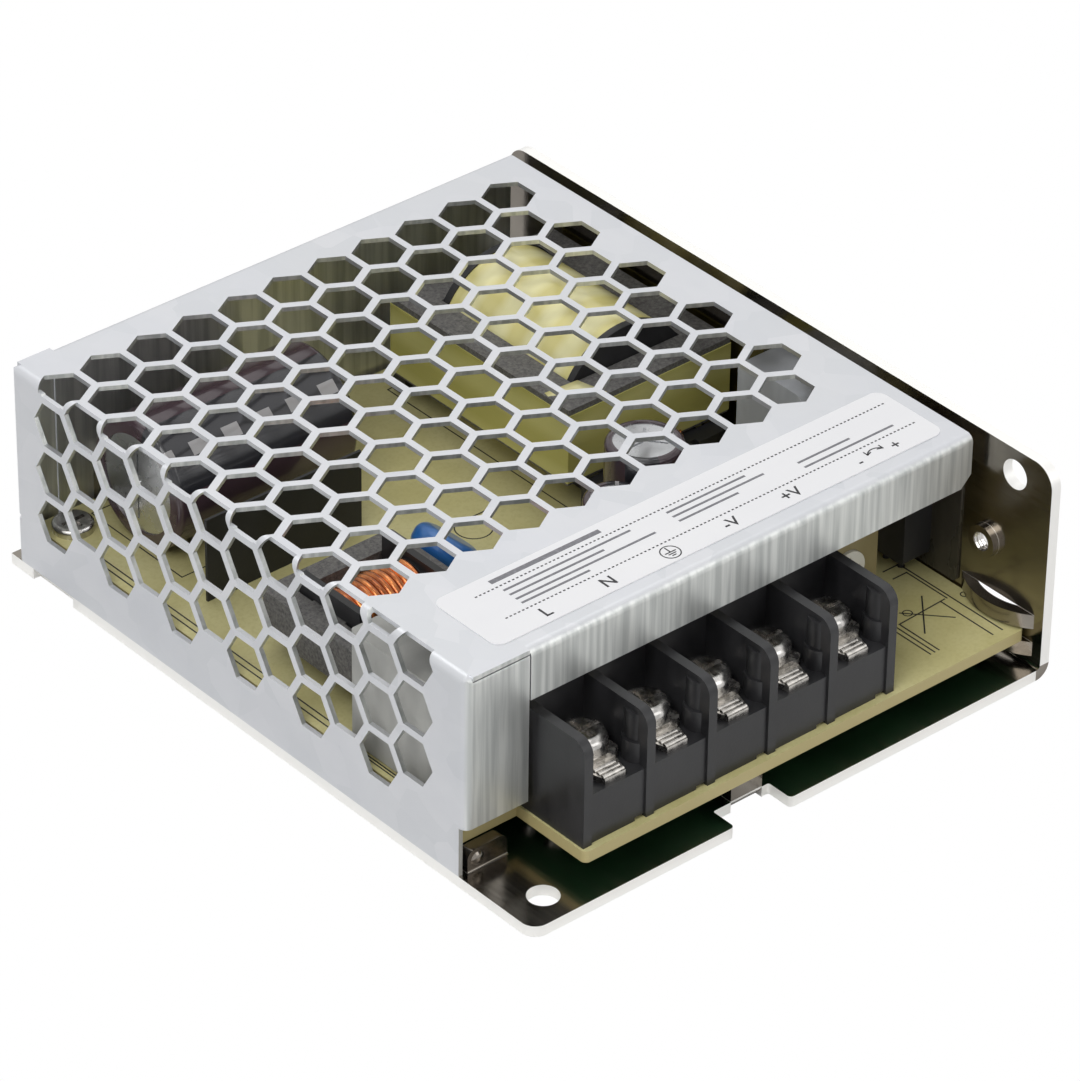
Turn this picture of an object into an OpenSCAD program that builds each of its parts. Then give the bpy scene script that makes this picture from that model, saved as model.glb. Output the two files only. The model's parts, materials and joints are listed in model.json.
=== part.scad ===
// Enclosed switching power supply with a folded mesh cover and five screw terminals.
// X runs across the case, Y along it with the terminals at -Y, and Z up.
// The origin lies under the middle of the base. All sizes are in millimetres.

/* [Chassis] */
// Length from the terminal end to the back
case_len = 99; // [99:1:140]
// Width over the mesh side and the aluminium wall
case_w = 82; // [82:1:110]
// Height of the aluminium wall
case_h = 30; // [30:0.5:40]
// Thickness of the aluminium sheet
chassis_t = 1.5; // [1.2:0.1:1.8]
// Outside radius of the bend between base and wall
chassis_bend_r = 2; // [1.9:0.1:3]
// Radius of the wall's free corners
wall_corner_r = 3; // [1:0.5:5]
// Radius of the base's front left corner
base_corner_r = 2; // [1:0.5:3]
// Diameter of the plain fixing holes in base and wall
fixing_d = 4; // [3.2:0.1:4.8]
// Base hole, from the left edge
base_hole_x = 5.2; // [4:0.1:8]
// Base hole, from the front edge
base_hole_y = 4.3; // [4:0.1:8]
// Wall hole, from the front edge
wall_hole_y = 6.2; // [5:0.1:9]
// Wall hole, down from the top of the wall
wall_hole_drop = 3.5; // [3:0.1:6]
// Bore left for an M3 thread
tap_d = 2.5; // [2.4:0.05:2.6]
// Outside diameter of a drawn collar round a threaded hole
collar_d = 4.3; // [4:0.1:5]
// How far a drawn collar stands out of the sheet
collar_h = 1; // [0.6:0.1:1.4]
// Threaded wall hole, from the front edge
wall_tap_y = 10.2; // [9:0.1:12]
// Threaded wall hole at the back, from the back edge
wall_tap_back = 5.5; // [5:0.1:7]
// Height of the threaded wall holes
wall_tap_z = 15.2; // [13:0.1:18]
// Threaded base holes, from the back edge
base_tap_back = 34; // [32:0.5:36]
// Spacing of the threaded base holes across the case
base_tap_gap = 52; // [44:1:60]

/* [Board supports] */
// Width of the wall bridges that hold the board's edge, along the wall
bridge_len = 12.5; // [10:0.5:14]
// Height of one bridge strip
bridge_h = 2; // [1.6:0.1:2.4]
// How far a bridge bows inward
bridge_bow = 2.3; // [1.8:0.1:2.6]
// Middle of the bridges, from the front edge
bridge_y = 7.75; // [7.25:0.25:9]
// Free height over the board under the upper bridge
bridge_play = 0.35; // [0.2:0.05:0.6]
// Width of the tab under the board's front edge
board_tab_w = 4.9; // [3:0.1:6]
// Width of the notch that the tab is folded out of
tab_notch_w = 8.8; // [7:0.1:10]
// Depth of that notch
tab_notch_depth = 3.8; // [3:0.1:5]
// Left end of the notch, from the left edge
tab_notch_x = 30.9; // [28:0.1:36]
// Tab's offset from the notch's left end
tab_offset = 2.8; // [1:0.1:3]
// Width of the stop tab at the front left
stop_tab_w = 6; // [4:0.5:7]
// Height of the stop tab over the base
stop_tab_h = 3; // [2:0.1:4]
// Radius of the dimple pressed into the stop tab
dimple_r = 0.95; // [0.7:0.05:1.2]
// Radius of the front corners beside the tab's notch
notch_r = 0.6; // [0.3:0.1:1]
// Diameter of the drawn studs under the board
stud_d = 5; // [4.6:0.1:6]

/* [Cover] */
// Thickness of the galvanised sheet
cover_t = 0.6; // [0.5:0.05:0.8]
// Outside radius of the cover's folds
cover_fold_r = 1.1; // [0.9:0.05:1.4]
// How far the cover's top lies below the wall's top
cover_drop = 0.3; // [0.1:0.1:1]
// Gap between the cover's free edge and the wall
cover_wall_gap = 1.4; // [1:0.1:2]
// Front of the cover, from the terminal end
cover_front = 12.1; // [11:0.1:14]
// Back of the cover, in from the back edge of the base
cover_back = 1.3; // [1.3:0.1:3]
// Height of the front lip
lip_h = 7.1; // [5:0.1:8]
// Width of the wing folded from the mesh side at the front
front_wing_w = 9.5; // [6:0.1:9.8]
// Width of the wing folded from the mesh side at the back
back_wing_w = 6; // [4:0.5:9]
// Height of the front wing's lower edge
wing_z = 8.4; // [8:0.1:12]
// Gap at the seams between neighbouring folds
seam_gap = 0.2; // [0.15:0.05:0.4]
// Chamfer at the free lower corner of the lip
lip_chamfer = 1.6; // [0.5:0.1:3]
// Height of the cover screws
cover_screw_z = 9; // [7:0.5:12]
// Cover screws, in from the left edge and from the wall
cover_screw_x = 16; // [14:1:20]
// Width of the chassis tabs that take the cover screws
cover_tab_w = 9; // [8:0.5:10]

/* [Mesh] */
// Width across flats of a hexagonal hole
hex_flats = 6.1; // [5:0.1:6.3]
// Pitch of the holes along a row
hex_pitch = 7.05; // [6.8:0.05:8]
// Pitch of the rows
row_pitch = 6.2; // [6.1:0.05:7]
// First row, in from the back of the cover
first_row = 8.1; // [7:0.1:10]
// First hole's centre, in from the mesh side
hex_edge_top = 1.77; // [1.5:0.01:2.2]
// The same hole's centre above the top face, seen from the side
hex_edge_side = 1.65; // [1.4:0.01:2.1]
// Plain margin between the top holes and the label
label_margin = 3; // [2:0.5:5]
// Plain margin on the other edges
free_margin = 2.5; // [2:0.1:4]
// Plain margin below the side holes
foot_margin = 5; // [4:0.5:7]

/* [Label] */
// Thickness of the label
label_t = 0.12; // [0.08:0.02:0.2]
// Depth of the label along the case
label_len = 11.7; // [9:0.1:13]
// Label's front edge, behind the front of the cover
label_front = 2.7; // [2:0.1:4]
// Label's left end, from the mesh side
label_left = 6.9; // [5:0.1:9]
// Label's right end, from the cover's free edge
label_right = 2.1; // [1.5:0.1:4]
// Corner radius of the label
label_r = 1.5; // [0.5:0.1:2]

/* [Board] */
// Thickness of the board
board_t = 1.6; // [1.6:0.1:2]
// Height of the board's underside
board_z = 4.6; // [4.6:0.1:5.2]
// Gap between the board and the sheet metal round it
board_gap = 1.1; // [0.9:0.1:1.4]
// Front edge of the board behind the cover's front
board_front = 2.6; // [2.2:0.1:4]
// Back edge of the board, from the back of the base
board_back = 2.5; // [2.5:0.1:3]
// Front edge of the tongue that carries the terminals, from the terminal end
tongue_front = 2.6; // [2.2:0.1:3]
// Left edge of that tongue, from the left edge of the base
tongue_left = 10; // [9.9:0.1:10.2]
// Thickness of the insulating film on the base
film_t = 0.25; // [0.1:0.05:0.4]
// Radius of the component leads
lead_r = 0.4; // [0.3:0.05:0.5]
// Clearance round a lead in the board
lead_gap = 0.15; // [0.1:0.05:0.3]
// Length of a lead below the board
lead_tail = 1.2; // [0.8:0.1:1.6]

/* [Screws] */
// Radius of the M3 screws that hold board, cover and clip
m3_r = 1.45; // [1.4:0.01:1.5]
// Clearance between an M3 screw and its hole
m3_gap = 0.05; // [0.05:0.01:0.2]
// Radius of an M3 screw head
m3_head_r = 2.7; // [2.4:0.1:3]
// Height of an M3 screw head
m3_head_h = 1.2; // [0.9:0.1:1.2]
// Depth of the cross recess
cross_depth = 0.7; // [0.4:0.1:0.8]
// Width of the cross recess's arms
cross_w = 0.6; // [0.4:0.1:0.9]

/* [Terminal block] */
// Distance from one pole to the next
pole_pitch = 9.5; // [8.5:0.1:10.5]
// Thickness of the barriers
barrier_t = 1.3; // [1:0.1:1.6]
// Left end of the block, from the left edge of the base
block_left = 10.3; // [10.2:0.1:11]
// Front face of the block, from the terminal end
block_front = 3.3; // [2.7:0.1:4]
// Depth of the block along the case
block_depth = 14; // [13:0.1:16]
// Height of the barriers over the board
barrier_h = 14.6; // [13:0.1:15]
// Height of the cell floor over the board
cell_floor = 6.9; // [6:0.1:7.5]
// Thickness of the wall behind the cells
block_back_t = 2.8; // [2:0.1:3.5]
// How far the barriers stand out of the cell fronts
barrier_out = 0.3; // [0.2:0.05:0.5]
// Width of the small notches at the barriers' feet
foot_notch = 1.5; // [1:0.1:2]
// Radius of the barriers' top front corner
barrier_r = 2; // [1:0.1:3]
// How far the lower wire guides stand out of a barrier
guide_low = 0.75; // [0.4:0.05:0.8]
// How far the upper wire guides stand out of a barrier
guide_high = 0.4; // [0.2:0.05:0.6]
// Radius of the wire guides
guide_r = 2.1; // [1.5:0.1:2.4]
// Middle of the wire guides, behind the front face
guide_y = 2.9; // [2.6:0.1:3.2]
// Height of the lower guides over the cell floor
guide_low_h = 2.9; // [2:0.1:3.5]
// Height of the upper guides over the cell floor
guide_high_h = 6.8; // [5:0.1:7.2]

/* [Terminal screws] */
// Radius of the M3.5 terminal screws
pole_r = 1.75; // [1.5:0.01:1.9]
// Clearance between the screw and its thread
pole_gap = 0.05; // [0.03:0.01:0.1]
// Radius of the terminal screw heads
pole_head_r = 3.1; // [2.6:0.1:3.2]
// Height of the terminal screw heads
pole_head_h = 2.3; // [1.8:0.1:2.4]
// Length of the terminal screws under the head
pole_len = 7; // [6:0.1:7.4]
// Screw axis behind the front face of the block
pole_y = 6.7; // [6.6:0.1:7]
// Width of the clamp washers
washer_w = 6.4; // [5.6:0.1:6.5]
// Depth of the clamp washers along the case
washer_d = 6.2; // [5.6:0.1:6.4]
// Thickness of the clamp washers
washer_t = 0.8; // [0.6:0.1:1]
// Corner radius of the clamp washers
washer_r = 0.8; // [0.4:0.1:1.2]
// Thickness of the contact plates
contact_t = 0.8; // [0.6:0.1:1]
// Width of the contact plates
contact_w = 7.2; // [6.6:0.1:7.6]
// Width of the contact tongue's tip
contact_tip_w = 3.1; // [2.4:0.1:4]
// Width where the tongue leaves the plate
contact_neck_w = 5.2; // [4.4:0.1:5.4]
// Radius of the threaded bush under a contact plate
bush_r = 2.5; // [2.3:0.1:2.6]
// Height of that bush
bush_h = 1.8; // [1.4:0.1:2.2]
// Width of the contact pins
contact_pin = 1.1; // [0.9:0.1:1.2]

/* [Transformer] */
// Width of the core across the case
core_w = 26.5; // [25:0.5:28]
// Length of the core along the case
core_len = 34; // [32:0.5:35]
// Height of the core
core_h = 11; // [10:0.1:12]
// Underside of the core over the board
core_lift = 5; // [4.6:0.1:5.4]
// Gap between the core and the wall
core_wall_gap = 1; // [0.8:0.1:2]
// Back of the core, from the back of the base
core_back = 9.5; // [9:0.5:11]
// Thickness of the core's end plates
core_end_t = 4.5; // [4:0.1:5]
// Radius of the core's middle leg
core_leg_r = 4.95; // [4.5:0.05:5.2]
// Radius of the winding
winding_r = 10; // [9.5:0.1:10]
// Radius of the window that the winding lies in
window_r = 10.4; // [10.3:0.1:10.6]
// Wall of the bobbin's tube
bobbin_t = 0.9; // [0.7:0.1:1.1]
// Thickness of the bobbin's flanges
flange_t = 1; // [0.8:0.1:1.3]
// Gap between bobbin and core
bobbin_gap = 0.15; // [0.1:0.05:0.3]
// Height of the bobbin's pin rails
rail_h = 4.7; // [4:0.1:4.7]
// Width of the pin rails across the case
rail_w = 22; // [20:0.5:24]
// How far the pin rails stand out past the core
rail_out = 2.6; // [2:0.1:3]
// Spacing of the transformer pins
pin_pitch = 3.8; // [3.5:0.1:4]
// Thickness of the tape round the core
tape_t = 0.15; // [0.1:0.05:0.25]

/* [Bulk capacitor] */
// Radius over the sleeve
bulk_r = 8.75; // [8:0.05:9]
// Length of the capacitor
bulk_len = 27.5; // [25:0.5:29]
// Middle of the capacitor, from the back of the base
bulk_back = 14; // [13.5:0.5:15]
// Vented end, from the left edge of the base
bulk_left = 9.3; // [8.5:0.1:11]
// Thickness of a capacitor sleeve
sleeve_t = 0.2; // [0.1:0.05:0.3]
// Width of the sleeve's curled rim over the can's end
sleeve_rim = 2.1; // [1:0.1:3]
// Spacing of the capacitor's leads
bulk_pitch = 7.5; // [5:0.5:10]
// Radius of the rounded edges of the cans
can_round = 0.6; // [0.4:0.1:0.9]
// Depth of the rolled groove by the seal
can_groove = 0.7; // [0.4:0.1:0.9]
// Width and depth of the vent scores
score = 0.3; // [0.2:0.05:0.4]

/* [Output capacitors] */
// Radius of the larger output capacitor
out_r1 = 5; // [4:0.5:5.2]
// Height of the larger output capacitor
out_h1 = 16; // [12:0.5:20]
// Larger capacitor, in from the wall
out_x1 = 25; // [24:0.5:27]
// Larger capacitor, from the back of the base
out_y1 = 54.7; // [54:0.1:56]
// Radius of the smaller output capacitor
out_r2 = 4; // [3:0.5:4.2]
// Height of the smaller output capacitor
out_h2 = 13.5; // [10:0.5:18]
// Smaller capacitor, in from the wall
out_x2 = 33.5; // [33:0.5:36]
// Smaller capacitor, from the back of the base
out_y2 = 59; // [58:0.5:61]

/* [Line filter] */
// Length of the filter core across the case
filter_w = 20; // [18:0.5:21]
// Depth of the filter core along the case
filter_d = 18; // [16:0.5:19]
// Thickness of the filter core
filter_t = 6; // [5:0.5:7]
// Width of the filter core's limbs
filter_limb = 3; // [2.5:0.1:3.4]
// Middle of the filter, from the left edge of the base
filter_x = 16.5; // [16:0.5:18]
// Middle of the filter, from the terminal end
filter_y = 48.5; // [47:0.5:50]
// Radius of the filter winding
coil_r = 5; // [4:0.1:5.2]
// Height of the filter's axis over the board
coil_z = 6.2; // [6:0.1:7]
// Diameter of the filter's wire
wire_d = 0.9; // [0.6:0.1:1.2]

/* [Input parts] */
// Thickness of the X capacitor across the case
xcap_w = 7; // [5:0.5:7]
// Length of the X capacitor along the case
xcap_len = 17; // [14:0.5:18]
// Height of the X capacitor
xcap_h = 15.8; // [12:0.1:17]
// X capacitor, from the left edge of the base
xcap_left = 3; // [2.6:0.1:4]
// X capacitor, from the terminal end
xcap_front = 19.5; // [18.5:0.5:21]
// Radius of the Y capacitor
ycap_r = 4.4; // [3.5:0.1:4.8]
// Thickness of the Y capacitor
ycap_t = 3.6; // [3:0.1:4]
// Lean of the Y capacitor
ycap_lean = 40; // [20:5:50]
// Length of the fuse
fuse_len = 12; // [10:0.5:13]
// Radius of the fuse
fuse_r = 2; // [1.5:0.1:2.4]
// Radius of the inrush thermistor
ntc_r = 4.2; // [3.5:0.1:4.5]
// Thickness of the inrush thermistor
ntc_t = 3.4; // [3:0.1:4]
// Width of the bridge rectifier
bridge_w = 14.5; // [12:0.5:15]
// Thickness of the bridge rectifier
bridge_t = 3.6; // [3:0.1:4]
// Height of the bridge rectifier
bridge_body_h = 10.5; // [9:0.5:12]

/* [Wall parts] */
// Width of a power package along the wall
pack_w = 10.2; // [9:0.1:10.5]
// Height of a power package
pack_h = 15.5; // [14:0.1:16]
// Thickness of a power package
pack_t = 4.5; // [4:0.1:4.6]
// Thickness of the insulator on the wall
pad_t = 0.3; // [0.2:0.05:0.5]
// Output rectifier's middle, from the terminal end
rect_y = 24.5; // [23:0.5:25]
// Power transistor's middle, from the terminal end
fet_y = 42.5; // [41.5:0.5:43]
// Wall of the silicone cap on the power transistor
cap_t = 0.7; // [0.5:0.1:0.9]
// Height of the package's underside over the board
pack_lift = 2.2; // [1.8:0.1:3]
// Height of the clip screw over the base
clip_screw_z = 17.5; // [16:0.5:19]
// Width of the spring clip along the wall
clip_w = 6; // [5:0.5:7]
// Thickness of the spring clip
clip_t = 0.6; // [0.5:0.1:0.8]

/* [Small parts] */
// Radius of the output choke's flanges
choke_r = 4.5; // [4:0.1:5]
// Height of the output choke
choke_h = 9; // [7:0.5:12]
// Width of the trimmer
trim_w = 10; // [9:0.1:10.5]
// Thickness of the trimmer
trim_t = 4.8; // [4.4:0.1:5]
// Height of the trimmer
trim_h = 11; // [10:0.1:12]
// Middle of the trimmer, from the terminal end
trim_y = 21.9; // [21.5:0.1:23]
// Radius of the trimmer's rotor
rotor_r = 2.6; // [2:0.1:3]
// Clearance round the rotor
rotor_gap = 0.05; // [0.03:0.01:0.1]

/* [Hidden] */
$fn = 48;
e = 0.01;

// Faces of the case
x_left = -case_w / 2;
x_right = case_w / 2;
y_front = -case_len / 2;
y_back = case_len / 2;
wall_in = x_right - chassis_t;

// Cover
cov_top = case_h - cover_drop;
cov_right = wall_in - cover_wall_gap;
cov_front = y_front + cover_front;
cov_back = y_back - cover_back;
lip_z = cov_top - lip_h;
wing_x = x_left + front_wing_w;

// Label
lab_x0 = x_left + label_left;
lab_x1 = cov_right - label_right;
lab_y0 = cov_front + label_front;
lab_y1 = lab_y0 + label_len;

// Mesh
hex_r = hex_flats / sqrt(3);
row0_y = cov_back - first_row;
top_rows = floor((row0_y - lab_y1 - label_margin - hex_r) / row_pitch);
side_rows = floor((row0_y - cov_front - 2 * free_margin - hex_r) / row_pitch);
top_limit = cov_right - free_margin - hex_flats / 2;
side_limit = chassis_t + foot_margin + hex_flats / 2;

// Board
board_top = board_z + board_t;
board_x0 = x_left + cover_t + board_gap;
board_x1 = wall_in - board_gap / 4;
board_y0 = cov_front + board_front;
board_y1 = y_back - board_back;
tongue_x0 = x_left + tongue_left;
tongue_y0 = y_front + tongue_front;
tip_z = board_z - lead_tail;

// Tabs of the chassis
tab_x0 = x_left + tab_notch_x + tab_offset;
notch_x0 = x_left + tab_notch_x;
notch_y = y_front + tab_notch_depth;
tab_outer_r = chassis_t + 0.3;
stop_x0 = x_left + 1.2;
stop_y = cov_front + 0.9;
recess_depth = 1;
recess_y0 = y_back - 12.5;
recess_y1 = y_back - 4.5;
cover_tab_y = cov_back - cover_t - chassis_t;
cover_tab_h = cover_screw_z + 4.5;
cover_screws_x = [x_left + cover_screw_x, wall_in - cover_screw_x];
base_taps = [for (s = [-1, 1]) [s * base_tap_gap / 2, y_back - base_tap_back]];

// Studs under the board: the first takes the board screw
studs = [[board_x0 + 3.4, board_y1 - 3.6], [board_x1 - 3.2, board_y1 - 2.9],
    [board_x0 + 3, y_front + 47]];

// Terminals
block_x0 = x_left + block_left;
block_x1 = block_x0 + 5 * pole_pitch + barrier_t;
block_y0 = y_front + block_front;
block_y1 = block_y0 + block_depth;
block_top = board_top + barrier_h;
floor_z = board_top + cell_floor;
cell_w = pole_pitch - barrier_t;
poles_y = block_y0 + pole_y;
contact_top = floor_z + contact_t;
washer_top = contact_top + washer_t;
contact_pin_y = poles_y + bush_r + 1.2;
function pole_x(i) = block_x0 + barrier_t / 2 + (i - 0.5) * pole_pitch;

// Transformer
core_x0 = wall_in - core_wall_gap - core_w;
core_x = core_x0 + core_w / 2;
core_y1 = y_back - core_back;
core_y0 = core_y1 - core_len;
core_z0 = board_top + core_lift;
core_z = core_z0 + core_h / 2;
tube_r = core_leg_r + bobbin_gap + bobbin_t;
winding_y0 = core_y0 + core_end_t + bobbin_gap + flange_t;
winding_y1 = core_y1 - core_end_t - bobbin_gap - flange_t;
rail_y0 = core_y0 - rail_out;
rail_y1 = core_y1 + rail_out;
rail_top = board_top + rail_h;
core_pins = [for (y = [rail_y0 + 1.2, rail_y1 - 1.2], i = [-2 : 2]) [core_x + i * pin_pitch, y]];

// Bulk capacitor, lying along X with its seal towards the middle of the case
bulk_x0 = x_left + bulk_left;
bulk_x1 = bulk_x0 + bulk_len;
bulk_y = y_back - bulk_back;
bulk_z = board_top + bulk_r + 0.1;
bulk_lead_x = bulk_x1 + 1.5;
bulk_leads = [for (s = [-1, 1]) [bulk_lead_x, bulk_y + s * bulk_pitch / 2]];

// Output capacitors
out_c1 = [wall_in - out_x1, y_back - out_y1];
out_c2 = [wall_in - out_x2, y_back - out_y2];
out_pitch = 3.5;
function out_leads(c) = [for (s = [-1, 1]) [c.x, c.y + s * out_pitch / 2]];

// Line filter
fil_x = x_left + filter_x;
fil_y = y_front + filter_y;
fil_z = board_top + coil_z;
coil_len = filter_w - 2 * filter_limb - 2.4;
coil_tube_r = filter_t / 2 * sqrt(2) + 0.2;
filter_pins = [for (sx = [-1, 1], sy = [-1, 1]) [fil_x + sx * (coil_len / 2 + 0.5), fil_y + sy * 4]];

// Input parts
xcap_x0 = x_left + xcap_left;
xcap_y0 = y_front + xcap_front;
xcap_y1 = xcap_y0 + xcap_len;
xcap_leads = [for (y = [xcap_y0 + 1.5, xcap_y1 - 1.5]) [xcap_x0 + xcap_w / 2, y]];
inner_x = xcap_x0 + xcap_w + 2;
ycap_c = [x_left + 32.5, y_back - 44.5];
ycap_leads = [for (s = [-1, 1]) [ycap_c.x + 2.2, ycap_c.y + s * 3]];
fuse_x = inner_x + fuse_r + 0.6;
fuse_y = y_front + 25;
fuse_z = board_top + fuse_r + 0.8;
fuse_leads = [for (s = [-1, 1]) [fuse_x, fuse_y + s * (fuse_len / 2 + 1.2)]];
ntc_c = [fuse_x + 10, y_front + 22];
ntc_z = board_top + ntc_r + 0.6;
ntc_leads = [for (s = [-1, 1]) [ntc_c.x + s * 2.5, ntc_c.y]];
rectifier_c = [ntc_c.x + 1, y_front + 31];
rectifier_z = board_top + 1.4;
rectifier_leads = [for (i = [-1.5 : 1.5]) [rectifier_c.x + i * 3.8, rectifier_c.y]];
barrier_x0 = x_left + 8;
barrier_x1 = x_left + 32;
barrier_y = y_back - 29;
barrier_top = board_top + 11.8;
barrier_thick = 0.4;
barrier_feet = [barrier_x0 + 3, barrier_x1 - 6];
foot_w = 3;

// Wall parts
pack_x1 = wall_in - pad_t;
pack_x0 = pack_x1 - pack_t;
pack_z = board_top + pack_lift;
rect_c = y_front + rect_y;
fet_c = y_front + fet_y;
fet_x1 = pack_x1 - cap_t;
fet_x0 = fet_x1 - pack_t;
pad_y0 = y_front + 14.6;
pad_y1 = fet_c + pack_w / 2 + 2.5;
clip_y = rect_c + pack_w / 2 + clip_t + m3_head_r + 0.3;
rect_leads = [for (i = [-1 : 1]) [pack_x0 + pack_t / 2, rect_c + i * 2.54]];
fet_leads = [for (i = [-1 : 1]) [fet_x0 + pack_t / 2, fet_c + i * 2.54]];

// Small parts
trim_c = [block_x1 + 2.2 + trim_w / 2, y_front + trim_y];
trim_y0 = trim_c.y - trim_t / 2;
rotor_z = board_top + trim_h / 2 + 0.3;
trim_leads = [for (i = [-1 : 1]) [trim_c.x + i * 2.5, trim_c.y]];
choke_c = [block_x1 + 1, trim_c.y + trim_t / 2 + choke_r + 0.2];
choke_leads = [for (s = [-1, 1]) [choke_c.x + s * 2.5, choke_c.y]];
chip_c = [rectifier_c.x + 14.5, y_front + 32];
opto_c = [rectifier_c.x + 11, y_front + 22.5];
chip_w = 6.4;
chip_h = 3.3;
function dip_leads(c, n) = [for (sx = [-1, 1], i = [0 : n - 1])
    [c.x + sx * 3.81, c.y + (i - (n - 1) / 2) * 2.54]];
chip_leads = dip_leads(chip_c, 4);
opto_leads = dip_leads(opto_c, 2);

// Every lead that passes through the board
LEADS = concat(core_pins, bulk_leads, out_leads(out_c1), out_leads(out_c2), filter_pins,
    xcap_leads, ycap_leads, fuse_leads, ntc_leads, rectifier_leads, rect_leads, fet_leads,
    choke_leads, trim_leads, chip_leads, opto_leads);

// ---------- helpers ----------

// Box between two corners
module span(lo, hi) { translate(lo) cube(hi - lo); }

// A drawing in XZ, pulled from y0 to y1
module along_y(y0, y1) { translate([0, y1, 0]) rotate([90, 0, 0]) linear_extrude(y1 - y0) children(); }

// A drawing in YZ, pulled from x0 to x1
module along_x(x0, x1) { translate([x0, 0, 0]) rotate([90, 0, 90]) linear_extrude(x1 - x0) children(); }

// A drawing in XY, pulled from z0 to z1
module along_z(z0, z1) { translate([0, 0, z0]) linear_extrude(z1 - z0) children(); }

// Rectangle from [a, b] to [c, d] whose corners listed in rounds have radius r.
// Corners are numbered 0 to 3 anticlockwise from the lower left.
module plate(a, b, c, d, r, rounds = [0, 1, 2, 3]) {
    corners = [[a, b, 1, 1], [c, b, -1, 1], [c, d, -1, -1], [a, d, 1, -1]];
    difference() {
        translate([a, b]) square([c - a, d - b]);
        for (i = rounds) corner(corners[i], r);
    }
}

// What rounding takes off a corner at [x, y] whose sheet lies towards [sx, sy]
module corner(k, r) {
    difference() {
        translate([k.x - (k[2] > 0 ? e : r), k.y - (k[3] > 0 ? e : r)]) square(r + e);
        translate([k.x + k[2] * r, k.y + k[3] * r]) circle(r);
    }
}

// Round bar along an axis: 0 is X, 1 is Y, 2 is Z
module bar(at, r, len, axis) {
    turn = [[0, 90, 0], [-90, 0, 0], [0, 0, 0]][axis];
    translate(at) rotate(turn) cylinder(r = r, h = len);
}

// Leads from the tip below the board up to z1
module leads(list, z1, r = lead_r) {
    for (p = list) translate([p.x, p.y, tip_z]) cylinder(r = r, h = z1 - tip_z);
}

// Solid turned from a profile of a can with rounded ends, standing on z = 0
module can(r, h, round) {
    rotate_extrude() intersection() {
        plate(-r, 0, r, h, round);
        square([r, h]);
    }
}

// Cross recess cut down from z = 0
module cross_cut(size, w, depth) {
    for (a = [0, 90]) rotate(a) translate([-size / 2, -w / 2, -depth]) cube([size, w, depth + 1]);
}

// Pan-head screw with its shank down from z = 0
module pan_screw(r, len, head_r, head_h, recess) {
    difference() {
        union() {
            translate([0, 0, -len]) cylinder(r = r, h = len + e);
            rotate_extrude() intersection() {
                plate(-head_r, 0, head_r, head_h, head_h * 0.45, [2, 3]);
                square([head_r, head_h]);
            }
        }
        translate([0, 0, head_h]) cross_cut(head_r * 1.25, cross_w, recess);
    }
}

// ---------- sheet metal ----------

// Cross-section of the chassis sheet
module chassis_profile() {
    difference() {
        plate(x_left, 0, x_right, case_h, chassis_bend_r, [1]);
        plate(x_left - 1, chassis_t, wall_in, case_h + 1, chassis_bend_r - chassis_t, [1]);
    }
}

// Strip pushed inward out of the wall, between two heights
module bridge_strip(z0, z1) {
    r = (pow(bridge_len / 2, 2) + pow(bridge_bow, 2)) / (2 * bridge_bow);
    along_z(z0, z1) difference() {
        translate([wall_in - bridge_bow + r, y_front + bridge_y]) circle(r);
        translate([wall_in - bridge_bow + r, y_front + bridge_y]) circle(r - chassis_t);
        translate([wall_in + chassis_t / 2, y_front - bridge_len]) square(3 * bridge_len);
    }
}

// Slot that a strip leaves in the wall
module bridge_slot(z0, z1) {
    span([wall_in - e, y_front + bridge_y - bridge_len / 2 + chassis_t, z0],
        [x_right + e, y_front + bridge_y + bridge_len / 2 - chassis_t, z1]);
}

// Upright tab folded from the base, its outer face at y and its foot towards +Y or -Y
module base_tab(x0, x1, y, top, r, foot) {
    inner = y + foot * chassis_t;
    bend = [foot > 0 ? 0 : 1];
    intersection() {
        along_x(x0, x1) difference() {
            plate(min(y, y + foot * 2 * chassis_t), 0, max(y, y + foot * 2 * chassis_t), top,
                tab_outer_r, bend);
            plate(min(inner, inner + foot * 2 * chassis_t), chassis_t,
                max(inner, inner + foot * 2 * chassis_t), top + 1, tab_outer_r - chassis_t, bend);
        }
        along_y(y - 4 * chassis_t, y + 4 * chassis_t) plate(x0, -1, x1, top, r, [2, 3]);
    }
}

// Room in the base for the bend of such a tab
module bend_room(x0, x1, y, foot) {
    span([x0, min(y, y + foot * tab_outer_r), -1], [x1, max(y, y + foot * tab_outer_r), chassis_t + 1]);
}

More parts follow.
